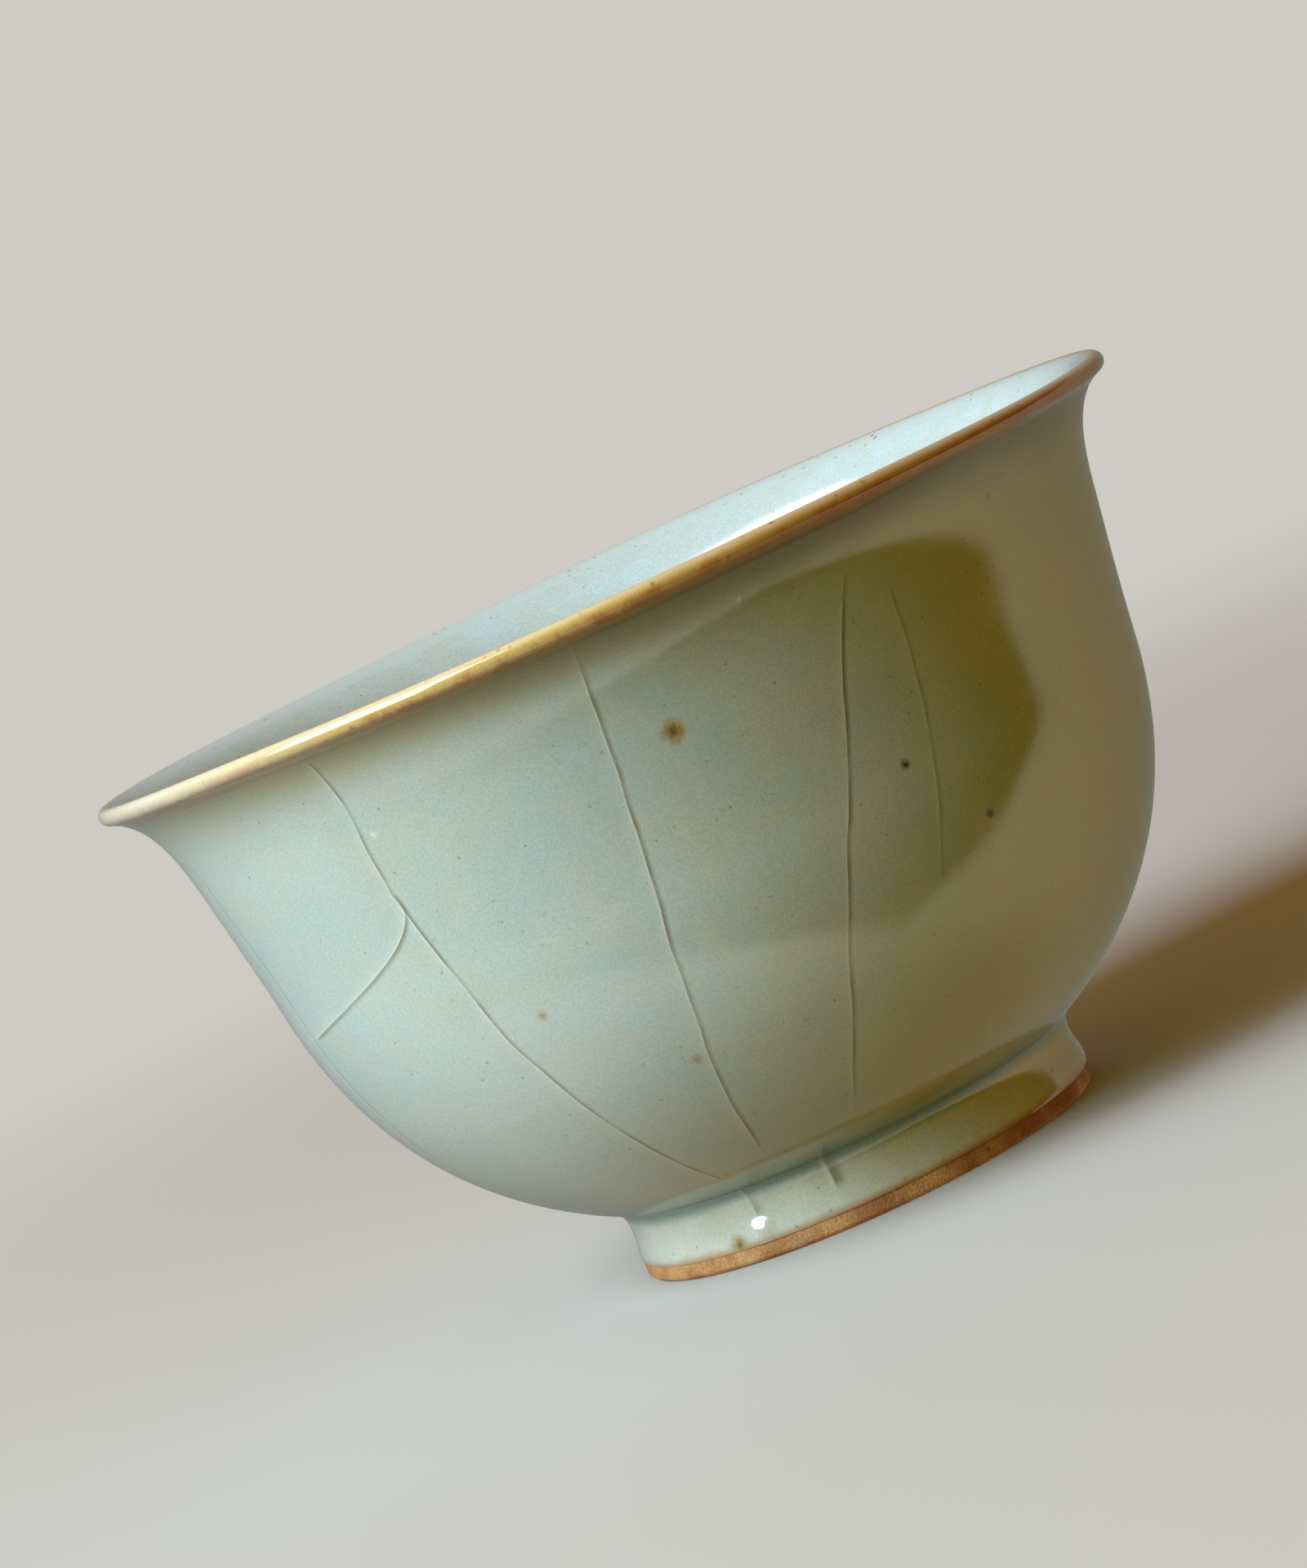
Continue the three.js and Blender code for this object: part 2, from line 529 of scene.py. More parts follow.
@dataclass(frozen=True)
class ThrowingMarks:
    """The small unevenness that a wheel and a hand leave, in metres."""

    oval: float = 0.10 * MM
    lip_wave: float = 0.12 * MM
    ridge: float = 0.005 * MM
    ridge_spacing: float = 5.2 * MM
    still_height: float = 6.0 * MM

    def move(self, point: Vector, height: float) -> Vector:
        """Return where a point of the true round cup lies on the thrown one.

        Args:
            point: The point on the round cup.
            height: The cup's full height.

        Returns:
            The moved point. The foot stays true.
        """
        radius = math.hypot(point.x, point.y)
        if radius < TINY:
            return point
        rise = eased((point.z - self.still_height) / (height - self.still_height))
        turn = math.atan2(point.y, point.x)
        push = self.oval * rise * math.sin(2 * turn + 0.7) + 0.4 * self.oval * rise * math.sin(3 * turn)
        spiral = 2 * math.pi * point.z / self.ridge_spacing + turn
        push += self.ridge * eased(rise * 6) * (1 - eased(rise * 1.6 - 0.6)) * math.sin(spiral)
        lift = self.lip_wave * rise**3 * (math.sin(2 * turn - 0.4) + 0.5 * math.sin(5 * turn + 1.1))
        scale = 1 + push / radius
        return Vector((point.x * scale, point.y * scale, point.z + lift))


class Turner:
    """Turns outlines round the cup's axis into closed, smooth skins."""

    def __init__(
        self, form: CupForm, marks: ThrowingMarks, facets: int = 240, corner: float = 35.0
    ) -> None:
        """Keep the settings.

        Args:
            form: The cup's form.
            marks: The unevenness of its throwing.
            facets: The number of facets round the cup.
            corner: The smallest angle in degrees that is shaded as a corner.
        """
        self.form = form
        self.marks = marks
        self.facets = facets
        self.corner = math.radians(corner)

    def turn(self, name: str, outline: Outline, drips: Sequence[Drip] = ()) -> bpy.types.Object:
        """Turn a closed outline into a mesh object.

        Args:
            name: The piece's name.
            outline: Its points, anticlockwise with the radius to the right. It may end on the axis.
            drips: Beads of glaze that stand out from its surface.

        Returns:
            The new object, at the origin.
        """
        bm = bmesh.new()
        verts = [bm.verts.new(point) for point in outline]
        on_axis = outline[0].x == 0.0
        pairs = list(zip(verts, verts[1:]))
        if not on_axis:
            pairs.append((verts[-1], verts[0]))
        edges = [bm.edges.new(pair) for pair in pairs]
        bmesh.ops.spin(
            bm,
            geom=verts + edges,
            cent=(0, 0, 0),
            axis=(0, 0, 1),
            angle=2 * math.pi,
            steps=self.facets,
            use_merge=True,
        )
        bmesh.ops.remove_doubles(bm, verts=bm.verts, dist=TINY)
        for vert in bm.verts:
            out = Vector((vert.co.x, vert.co.y, 0.0)).normalized()
            pushed = vert.co + out * sum(drip.push(vert.co) for drip in drips)
            vert.co = self.marks.move(pushed, self.form.height)
        bmesh.ops.recalc_face_normals(bm, faces=bm.faces)
        for face in bm.faces:
            face.smooth = True
        for edge in bm.edges:
            edge.smooth = edge.calc_face_angle(0.0) < self.corner
        return solid(name, bm)


# ---------------------------------------------------------------------------------------
# Shader nodes
# ---------------------------------------------------------------------------------------


class NodeSheet:
    """Adds nodes to a tree and wires their inputs to values or sockets."""

    def __init__(self, tree: bpy.types.NodeTree) -> None:
        """Keep the tree that the nodes go into."""
        self.tree = tree

    @classmethod
    def fresh(cls, owner: Union[bpy.types.Material, bpy.types.World]) -> "NodeSheet":
        """Start an empty sheet.

        Args:
            owner: The material or world that it belongs to.

        Returns:
            The sheet, with no nodes.
        """
        owner.use_nodes = True
        owner.node_tree.nodes.clear()
        return cls(owner.node_tree)

    def add(
        self, kind: str, settings: Optional[dict[str, object]] = None, **inputs: object
    ) -> bpy.types.Node:
        """Add one node.

        Args:
            kind: The node's type name.
            settings: Values of the node's own properties.
            inputs: Values or sockets for its inputs, with underscores for spaces in their names.

        Returns:
            The new node.
        """
        node = self.tree.nodes.new(kind)
        for key, value in (settings or {}).items():
            setattr(node, key, value)
        for key, value in inputs.items():
            self.feed(node.inputs[key.replace("_", " ")], value)
        return node

    def feed(self, socket: Socket, value: object) -> None:
        """Wire a socket to another one, or give it a plain value.

        Args:
            socket: The input to feed.
            value: The socket, colour or value that it gets.
        """
        if isinstance(value, bpy.types.NodeSocket):
            self.tree.links.new(value, socket)
        elif isinstance(value, tuple) and len(value) == 3 and socket.type == "RGBA":
            socket.default_value = (*value, 1.0)
        else:
            socket.default_value = value

    def math(self, operation: str, *values: Value, clamp: bool = False) -> Socket:
        """Add a Math node.

        Args:
            operation: The node's operation.
            values: The values or sockets that it works on.
            clamp: Whether the result is kept from 0 to 1.

        Returns:
            The result.
        """
        node = self.add("ShaderNodeMath", {"operation": operation, "use_clamp": clamp})
        for socket, value in zip(node.inputs, values):
            self.feed(socket, value)
        return node.outputs[0]

    def times(self, first: Value, second: Value) -> Socket:
        """Return the product of two values."""
        return self.math("MULTIPLY", first, second)

    def plus(self, first: Value, second: Value) -> Socket:
        """Return the sum of two values."""
        return self.math("ADD", first, second)

    def minus(self, first: Value, second: Value) -> Socket:
        """Return the first value less the second."""
        return self.math("SUBTRACT", first, second)

    def over(self, first: Value, second: Value) -> Socket:
        """Return the first value divided by the second."""
        return self.math("DIVIDE", first, second)

    def axes(self, where: Socket) -> tuple[Socket, Socket, Socket]:
        """Return a place's x, y and z."""
        return tuple(self.add("ShaderNodeSeparateXYZ", Vector=where).outputs)

    def vector(self, operation: str, *values: object) -> bpy.types.Node:
        """Add a Vector Math node.

        Args:
            operation: The node's operation.
            values: The vectors or sockets that it works on.

        Returns:
            The node, with its results.
        """
        node = self.add("ShaderNodeVectorMath", {"operation": operation})
        for socket, value in zip(node.inputs, values):
            self.feed(socket, value)
        return node

    def ramp(
        self, value: Value, low: Value, high: Value, out_low: Value = 0.0, out_high: Value = 1.0
    ) -> Socket:
        """Carry a value gently from one range to another, held at its ends.

        Args:
            value: The value to carry.
            low: The value that gives the first result.
            high: The value that gives the second result.
            out_low: The first result.
            out_high: The second result.

        Returns:
            The result.
        """
        node = self.add(
            "ShaderNodeMapRange",
            {"interpolation_type": "SMOOTHSTEP"},
            Value=value,
            From_Min=low,
            From_Max=high,
            To_Min=out_low,
            To_Max=out_high,
        )
        return node.outputs["Result"]

    def span(self, value: Value, ends: Span) -> Socket:
        """Return a value carried gently from 0 to 1 between two places in millimetres."""
        return self.ramp(value, ends[0] * MM, ends[1] * MM)

    def blend(self, share: Value, first: object, second: object) -> Socket:
        """Mix two colours.

        Args:
            share: The share of the second one.
            first: The first colour.
            second: The second colour.

        Returns:
            The mixed colour.
        """
        node = self.add("ShaderNodeMix", {"data_type": "RGBA"})
        share_port, first_port, second_port = (port for port in node.inputs if port.enabled)
        self.feed(share_port, share)
        self.feed(first_port, first)
        self.feed(second_port, second)
        return next(port for port in node.outputs if port.enabled)

    def scaled(self, colour: Socket, shade: Value) -> Socket:
        """Make a colour lighter or darker.

        Args:
            colour: The colour.
            shade: What it is multiplied by.

        Returns:
            The shaded colour.
        """
        node = self.vector("SCALE", colour)
        self.feed(node.inputs["Scale"], shade)
        return node.outputs[0]

    def noise(self, where: Socket, scale: Value, detail: float = 2.0, rough: float = 0.5) -> Socket:
        """Return a noise value at a place."""
        node = self.add("ShaderNodeTexNoise", Vector=where, Scale=scale, Detail=detail, Roughness=rough)
        return node.outputs["Fac"]


@dataclass(frozen=True)
class Port:
    """One input or output of a node group."""

    name: str
    kind: str = "NodeSocketFloat"
    value: Optional[float] = None


VECTOR_PORT = Port("Vector", "NodeSocketVector")
CRACK_PORTS = ("Angle", "Lean", "Bow", "Top", "Foot", "Fade", "Wander", "Reach", "Width", "Seed")


class Effect:
    """A shader node group that several finishes use, each with values of its own."""

    def __init__(
        self,
        name: str,
        inputs: Sequence[Port],
        outputs: Sequence[str],
        build: Callable[[NodeSheet, dict[str, Socket]], Sequence[Socket]],
    ) -> None:
        """Build the group once.

        Args:
            name: The group's name.
            inputs: Its inputs.
            outputs: The names of its outputs, which are all values.
            build: Makes the nodes, and returns a socket for each output.
        """
        self.tree = bpy.data.node_groups.new(name, "ShaderNodeTree")
        for port in inputs:
            socket = self.tree.interface.new_socket(port.name, in_out="INPUT", socket_type=port.kind)
            if port.value is not None:
                socket.default_value = port.value
        for output in outputs:
            self.tree.interface.new_socket(output, in_out="OUTPUT", socket_type="NodeSocketFloat")
        sheet = NodeSheet(self.tree)
        entry = sheet.add("NodeGroupInput")
        leave = sheet.add("NodeGroupOutput")
        results = build(sheet, {port.name: entry.outputs[port.name] for port in inputs})
        for output, result in zip(outputs, results):
            self.tree.links.new(result, leave.inputs[output])

    def use(self, sheet: NodeSheet, **inputs: object) -> dict[str, Socket]:
        """Place the group in a material.

        Args:
            sheet: The material's nodes.
            inputs: Values or sockets for the group's inputs, with underscores for spaces.

        Returns:
            The group's outputs by name.
        """
        node = sheet.add("ShaderNodeGroup", {"node_tree": self.tree}, **inputs)
        return {output.name: output for output in node.outputs}


def build_grain(sheet: NodeSheet, given: dict[str, Socket]) -> Sequence[Socket]:
    """Make the fine mottling, iron specks and pits of a fired surface.

    Args:
        sheet: The group's nodes.
        given: The group's inputs by name.

    Returns:
        The mottling, the dark specks, the pits and the relief of them all.
    """
    where = given["Vector"]
    fine = sheet.noise(where, sheet.over(1.0, given["Grain Size"]), 1.0)
    grain = sheet.ramp(fine, 0.25, 0.75)
    specks = []
    for shift in (0.0, 0.37):
        moved = sheet.vector("ADD", where, (shift, shift * 0.7, -shift)).outputs[0]
        cells = sheet.add(
            "ShaderNodeTexVoronoi",
            {"feature": "F1"},
            Vector=moved,
            Scale=sheet.over(1.0, given["Speck Spacing"]),
        )
        chance = sheet.add("ShaderNodeSeparateColor", Color=cells.outputs["Color"])
        size = sheet.times(chance.outputs["Red"], given["Speck Size"])
        reach = sheet.over(size, given["Speck Spacing"])
        inside = sheet.ramp(cells.outputs["Distance"], sheet.times(reach, 0.4), reach, 1.0, 0.0)
        chosen = sheet.math("LESS_THAN", chance.outputs["Green"], given["Speck Share"])
        strength = sheet.plus(0.35, sheet.times(chance.outputs["Blue"], 0.65))
        specks.append(sheet.times(sheet.times(inside, chosen), strength))
    relief = sheet.minus(sheet.times(grain, 0.5), specks[1])
    return grain, specks[0], specks[1], relief


def build_crackle(sheet: NodeSheet, given: dict[str, Socket]) -> Sequence[Socket]:
    """Make one long crack down the wall, drawn only as painted light: painted shade on one side of a
    small step and a painted highlight on the other.

    Args:
        sheet: The group's nodes.
        given: The group's inputs by name.

    Returns:
        The masks of its shaded line and of its lit side.
    """
    x, y, z = sheet.axes(given["Vector"])
    turn = sheet.math("ARCTAN2", x, sheet.times(y, -1.0))
    radius = sheet.math("SQRT", sheet.plus(sheet.times(x, x), sheet.times(y, y)))
    drop = sheet.minus(given["Top"], z)
    bowed = sheet.times(given["Bow"], drop)
    run = sheet.times(sheet.plus(given["Lean"], bowed), drop)
    away = sheet.minus(sheet.minus(turn, given["Angle"]), run)
    wrapped = sheet.math("WRAP", away, math.pi, -math.pi)
    slope = sheet.times(sheet.plus(given["Lean"], sheet.times(bowed, 2.0)), radius)
    square = sheet.math("SQRT", sheet.plus(1.0, sheet.times(slope, slope)))
    along = sheet.add("ShaderNodeCombineXYZ", Z=sheet.times(z, 130.0), X=given["Seed"])
    wander = sheet.minus(sheet.noise(along.outputs[0], 1.0, 1.5, 0.5), 0.5)
    aside = sheet.over(sheet.times(wrapped, radius), square)
    aside = sheet.plus(aside, sheet.times(wander, given["Wander"]))
    distance = sheet.math("ABSOLUTE", aside)
    width = given["Width"]
    after = sheet.ramp(aside, sheet.times(width, -0.3), sheet.times(width, 0.3))
    before = sheet.minus(1.0, after)
    # Painted shade: a soft dark band on one side of the crack.
    shadow = sheet.ramp(distance, sheet.times(width, 0.4), sheet.times(width, 3.6), 1.0, 0.0)
    line = sheet.times(shadow, after)
    # Painted highlight: a thin lit line and a faint wide glow on the other side.
    near = sheet.math("SUBTRACT", 1.0, sheet.over(distance, given["Reach"]), clamp=True)
    wide = sheet.times(sheet.math("POWER", near, 2.6), 0.3)
    lit = sheet.ramp(distance, sheet.times(width, 0.6), sheet.times(width, 1.6), 0.42, 0.0)
    painted_highlight = sheet.times(sheet.plus(wide, lit), before)
    foot_end = sheet.math("DIVIDE", sheet.minus(z, given["Foot"]), given["Fade"], clamp=True)
    top_end = sheet.math("DIVIDE", drop, given["Fade"], clamp=True)
    ends = sheet.times(foot_end, top_end)
    uneven = sheet.ramp(sheet.noise(along.outputs[0], 2.3, 1.0), 0.3, 0.6, 0.45, 1.0)
    ends = sheet.times(ends, uneven)
    return sheet.times(line, ends), sheet.times(painted_highlight, ends)


def build_spot(sheet: NodeSheet, given: dict[str, Socket]) -> Sequence[Socket]:
    """Make one iron spot: a dark core and the stain that bled round it.

    Args:
        sheet: The group's nodes.
        given: The group's inputs by name.

    Returns:
        The masks of the core and of the stain.
    """
    where = given["Vector"]
    wobble = sheet.minus(sheet.noise(where, 2600.0, 2.0), 0.5)
    offset = sheet.vector("SUBTRACT", where, given["Centre"])
    distance = sheet.vector("LENGTH", offset.outputs[0]).outputs["Value"]
    share = sheet.plus(sheet.over(distance, given["Radius"]), sheet.times(wobble, 0.7))
    core = sheet.ramp(share, 0.05, 0.5, 1.0, 0.0)
    return core, sheet.ramp(share, 0.3, 1.1, 1.0, 0.0)


def build_band(sheet: NodeSheet, given: dict[str, Socket]) -> Sequence[Socket]:
    """Make a change by height, with an edge that wavers round the cup.

    Args:
        sheet: The group's nodes.
        given: The group's inputs by name.

    Returns:
        The mask of what lies over the change.
    """
    noise_at = sheet.noise(given["Vector"], sheet.over(1.0, given["Waver Size"]), 3.0, 0.6)
    waver = sheet.times(sheet.minus(noise_at, 0.5), given["Waver"])
    height = sheet.plus(sheet.axes(given["Vector"])[2], waver)
    return (sheet.ramp(height, given["From"], given["To"]),)


class Effects:
    """The node groups that the finishes share."""

    def __init__(self) -> None:
        """Build every group once."""
        self.grain = Effect(
            "fired_grain",
            [
                VECTOR_PORT,
                Port("Grain Size", value=0.3 * MM),
                Port("Speck Spacing", value=2.0 * MM),
                Port("Speck Size", value=0.2 * MM),
                Port("Speck Share", value=0.5),
            ],
            ["Grain", "Dark Specks", "Pits", "Relief"],
            build_grain,
        )
        # Cracks drawn as painted shade and painted highlight.
        self.crackle = Effect(
            "crack_painted_shade_and_highlight",
            [VECTOR_PORT, *[Port(name) for name in CRACK_PORTS]],
            ["Line", "PaintedHighlight"],
            build_crackle,
        )
        self.spot = Effect(
            "iron_spot",
            [VECTOR_PORT, Port("Centre", "NodeSocketVector"), Port("Radius", value=1.0 * MM)],
            ["Core", "Halo"],
            build_spot,
        )
        self.band = Effect(
            "height_band",
            [VECTOR_PORT, Port("From"), Port("To"), Port("Waver"), Port("Waver Size", value=4.0 * MM)],
            ["Mask"],
            build_band,
        )


# ---------------------------------------------------------------------------------------
# Marks in the glaze
# ---------------------------------------------------------------------------------------


@dataclass(frozen=True)
class Rise:
    """A change of the glaze between two heights, with an edge that wavers; all in millimetres."""

    foot: float
    top: float
    waver: float

    def mask(self, sheet: NodeSheet, where: Socket, effects: Effects) -> Socket:
        """Place the change in a material.

        Args:
            sheet: The material's nodes.
            where: The place on the piece.
            effects: The shared node groups.

        Returns:
            The mask of what lies over it.
        """
        low, high, waver = self.foot * MM, self.top * MM, self.waver * MM
        return effects.band.use(sheet, Vector=where, From=low, To=high, Waver=waver)["Mask"]


OVER_THE_LIP = Rise(60.0, 61.0, 1.0)


@dataclass(frozen=True)
class Clouds:
    """A cloudy mask: how many clouds to the metre, how broken they are, and where they set in."""

    scale: float
    detail: float
    rough: float
    low: float
    high: float
    least: float = 0.0

    def mask(self, sheet: NodeSheet, where: Socket) -> Socket:
        """Return how far a place lies in the clouds."""
        noise = sheet.noise(where, self.scale, self.detail, self.rough)
        return sheet.ramp(noise, self.low, self.high, self.least, 1.0)


@dataclass(frozen=True)
class Grains:
    """The size of a surface's mottling, and its specks' spacing and size, all in millimetres.

    The share is that of the places for a speck that hold one.
    """

    size: float
    spacing: float
    speck: float
    share: float

    def lay(self, sheet: NodeSheet, where: Socket, effects: Effects) -> dict[str, Socket]:
        """Place the grain in a material.

        Args:
            sheet: The material's nodes.
            where: The place on the piece.
            effects: The shared node groups.

        Returns:
            The grain group's outputs by name.
        """
        return effects.grain.use(
            sheet,
            Vector=where,
            Grain_Size=self.size * MM,
            Speck_Spacing=self.spacing * MM,
            Speck_Size=self.speck * MM,
            Speck_Share=self.share,
        )


@dataclass(frozen=True)
class CrackleLine:
    """One long crack, in millimetres, and in degrees round the cup from its front towards its right.

    The lean and the bow are how it drifts round the cup on its way down. The last two are the shares of
    its painted highlight and of its painted shade.
    """

    angle: float
    top: float
    foot: float
    lean: float = 0.0
    bow: float = 0.0
    fade: float = 2.5
    wander: float = 0.9
    reach: float = 1.5
    width: float = 0.13
    # Shares of the crack's painted highlight and painted shade.
    painted_highlight: float = 1.0
    dark: float = 1.0

    def draw(self, sheet: NodeSheet, effect: Effect, where: Socket, seed: float) -> tuple[Socket, Socket]:
        """Place the crack in a material.

        Args:
            sheet: The material's nodes.
            effect: The crackle line group.
            where: The place on the piece.
            seed: Sets this crack's own wandering.

        Returns:
            The masks of its painted shade and of its painted highlight.
        """
        per_metre = math.radians(1.0) / MM
        made = effect.use(
            sheet,
            Vector=where,
            Angle=math.radians(self.angle),
            Lean=self.lean * per_metre,
            Bow=self.bow * per_metre / MM,
            Top=self.top * MM,
            Foot=self.foot * MM,
            Fade=self.fade * MM,
            Wander=self.wander * MM,
            Reach=self.reach * MM,
            Width=self.width * MM,
            Seed=seed,
        )
        return sheet.times(made["Line"], self.dark), sheet.times(made["PaintedHighlight"], self.painted_highlight)


class SpotKind(Enum):
    """What an iron spot looks like: the colours of its core and of its stain."""

    OCHRE = ((0.11, 0.075, 0.015), (0.27, 0.20, 0.03))
    GREEN = ((0.012, 0.022, 0.010), (0.10, 0.13, 0.06))
    BROWN = ((0.10, 0.035, 0.008), (0.28, 0.14, 0.04))
    # Painted highlight: a pale spot that stands in for a glint of light on the glaze.
    PAINTED_GLINT = ((0.62, 0.66, 0.60), (0.50, 0.55, 0.50))


@dataclass(frozen=True)
class IronSpot:
    """One spot in the glaze, at an angle round the cup and a height, in millimetres."""

    angle: float
    height: float
    radius: float
    kind: SpotKind
    strength: float = 1.0

    def centre(self, line: Outline) -> Vector:
        """Return where the spot lies.

        Args:
            line: The outline of the skin's surface, rising towards the lip.

        Returns:
            The spot's middle in the row frame.
        """
        height = self.height * MM
        above = next((i for i, point in enumerate(line) if point.z >= height), len(line) - 1)
        low, high = line[max(above - 1, 0)], line[above]
        share = (height - low.z) / max(high.z - low.z, TINY)
        radius = mix(low.x, high.x, min(max(share, 0.0), 1.0))
        turn = math.radians(self.angle)
        return Vector((radius * math.sin(turn), -radius * math.cos(turn), height))


# Cracks, each drawn as painted shade on one side and a painted highlight on the other.
FRONT_CRACKS = (
    CrackleLine(angle=-5.1, top=49.6, foot=8.2, lean=-0.13, bow=-0.0033),
    CrackleLine(angle=24.2, top=45.8, foot=9.0, lean=-0.6, wander=1.3, painted_highlight=0.8),
    CrackleLine(angle=29.4, top=44.2, foot=22.0, bow=-0.0137, wander=0.8, painted_highlight=0.45, dark=0.5),
    CrackleLine(angle=-36.3, top=49.4, foot=37.6, lean=-0.14, wander=1.2, fade=0.6),
    CrackleLine(angle=-37.9, top=38.0, foot=28.8, lean=0.918, bow=-0.482, wander=0.5, fade=0.4),
    CrackleLine(angle=-37.9, top=38.0, foot=7.6, lean=0.2, bow=0.0055, wander=0.8, fade=0.4),
)
BACK_CRACKS = (
    CrackleLine(angle=84.0, top=47.6, foot=20.0, lean=0.22, bow=-0.004, painted_highlight=0.5, dark=0.7),
    CrackleLine(angle=109.0, top=49.4, foot=8.0, lean=-0.16, bow=0.006, wander=1.2),
    CrackleLine(angle=133.0, top=46.4, foot=12.0, lean=0.35, bow=-0.011, wander=1.0),
    CrackleLine(angle=141.0, top=33.0, foot=9.0, lean=-0.7, wander=0.8, fade=0.6, painted_highlight=0.7),
    CrackleLine(angle=178.0, top=49.0, foot=9.0, lean=-0.1, bow=-0.003, wander=1.2),
    CrackleLine(angle=214.0, top=48.0, foot=17.0, lean=0.18, bow=0.008, painted_highlight=0.7),
    CrackleLine(angle=247.0, top=49.2, foot=10.0, lean=-0.22, wander=1.3),
    CrackleLine(angle=286.0, top=45.0, foot=13.0, lean=0.3, bow=-0.006, painted_highlight=0.8, dark=0.8),
)
FOOT_CRACKS = (
    CrackleLine(angle=-28.8, top=6.6, foot=3.2, fade=0.8, wander=0.4, reach=0.9, width=0.3, painted_highlight=0.6),
    CrackleLine(angle=-8.4, top=6.6, foot=3.0, fade=0.8, wander=0.4, reach=1.0, width=0.35, painted_highlight=0.7),
    CrackleLine(angle=118.0, top=6.4, foot=2.6, fade=0.8, wander=0.5, reach=0.9, width=0.25, painted_highlight=0.5),
    CrackleLine(angle=203.0, top=6.4, foot=3.0, fade=0.8, wander=0.5, reach=0.9, width=0.25, painted_highlight=0.5),
)
INNER_CRACKS = (
    CrackleLine(angle=-160.0, top=49.0, foot=22.0, lean=0.2, bow=-0.004, wander=0.4, painted_highlight=0.5, dark=0.35),
    CrackleLine(angle=-62.0, top=48.0, foot=20.0, lean=-0.3, wander=0.6, painted_highlight=0.5, dark=0.35),
    CrackleLine(angle=18.0, top=49.0, foot=19.0, lean=0.2, wander=0.6, painted_highlight=0.5, dark=0.4),
    CrackleLine(angle=84.0, top=47.0, foot=26.0, lean=-0.25, bow=0.006, wander=0.4, painted_highlight=0.5, dark=0.35),
    CrackleLine(angle=151.0, top=49.2, foot=20.0, lean=-0.2, wander=0.6, painted_highlight=0.5, dark=0.4),
)
OUTER_SPOTS = (
    IronSpot(0.6, 40.7, 1.1, SpotKind.OCHRE),
    IronSpot(23.5, 31.3, 0.55, SpotKind.GREEN, 0.9),
    IronSpot(32.1, 25.2, 0.5, SpotKind.GREEN, 0.7),
    IronSpot(-14.1, 18.1, 0.7, SpotKind.OCHRE, 0.4),
    IronSpot(-28.2, 25.6, 0.7, SpotKind.OCHRE, 0.4),
    IronSpot(29.8, 49.2, 0.7, SpotKind.BROWN, 0.8),
    IronSpot(46.7, 45.8, 0.35, SpotKind.BROWN, 0.8),
    IronSpot(70.0, 26.1, 0.6, SpotKind.BROWN, 0.7),
    # The next two are painted highlights, not spots in the glaze.
    IronSpot(-35.6, 42.5, 0.5, SpotKind.PAINTED_GLINT, 0.6),
    IronSpot(12.4, 47.2, 0.3, SpotKind.PAINTED_GLINT, 0.9),
    IronSpot(104.0, 36.0, 0.8, SpotKind.OCHRE, 0.8),
    IronSpot(163.0, 22.0, 0.6, SpotKind.GREEN, 0.8),
    IronSpot(198.0, 43.0, 0.9, SpotKind.OCHRE, 0.9),
    IronSpot(262.0, 30.0, 0.5, SpotKind.GREEN, 0.8),
)
FOOT_SPOTS = (
    IronSpot(-36.1, 1.8, 1.0, SpotKind.OCHRE),
    IronSpot(57.0, 3.1, 0.4, SpotKind.BROWN, 0.8),
    IronSpot(171.0, 2.2, 0.6, SpotKind.OCHRE, 0.8),
    IronSpot(238.0, 3.4, 0.4, SpotKind.GREEN, 0.8),
)
INNER_SPOTS = (
    IronSpot(150.0, 41.0, 0.7, SpotKind.OCHRE, 0.8),
    IronSpot(-75.0, 30.0, 0.5, SpotKind.GREEN, 0.8),
    IronSpot(40.0, 24.0, 0.6, SpotKind.BROWN, 0.6),
)
FOOT_DRIPS = (
    Drip(-29.0, 2.3 * MM, 1.5 * MM, 0.28 * MM),
    Drip(93.0, 2.1 * MM, 1.7 * MM, 0.2 * MM),
    Drip(204.0, 2.2 * MM, 1.4 * MM, 0.25 * MM),
)


# ---------------------------------------------------------------------------------------
# Finishes
# ---------------------------------------------------------------------------------------


@dataclass
class Surface:
    """What a finish hands to its shader: sockets for the look, and a relief in shares of its depth."""

    colour: Socket
    roughness: Socket
    relief: Socket


@dataclass(frozen=True)
class Finish:
    """A fired surface with values of its own, named after its slot in the record."""

    slot: str
    ior: float = 1.5
    relief_depth: float = 0.02 * MM

    def paint(self, sheet: NodeSheet, where: Socket, effects: Effects) -> Surface:
        """Lay down the colour, roughness and relief of this finish."""
        raise NotImplementedError(self.slot)

    def material(self, effects: Effects) -> bpy.types.Material:
        """Make the material.

        Args:
            effects: The shared node groups.

        Returns:
            The material, with one Principled shader.
        """
        material = bpy.data.materials.new(f"{self.slot}_fired")
        sheet = NodeSheet.fresh(material)
        where = sheet.add("ShaderNodeTexCoord").outputs["Object"]
        surface = self.paint(sheet, where, effects)
        bump = sheet.add("ShaderNodeBump", Height=surface.relief, Distance=self.relief_depth)
        shader = sheet.add(
            "ShaderNodeBsdfPrincipled",
            Base_Color=surface.colour,
            Roughness=surface.roughness,
            Normal=bump.outputs["Normal"],
            IOR=self.ior,
        )
        sheet.add("ShaderNodeOutputMaterial", Surface=shader.outputs["BSDF"])
        return material


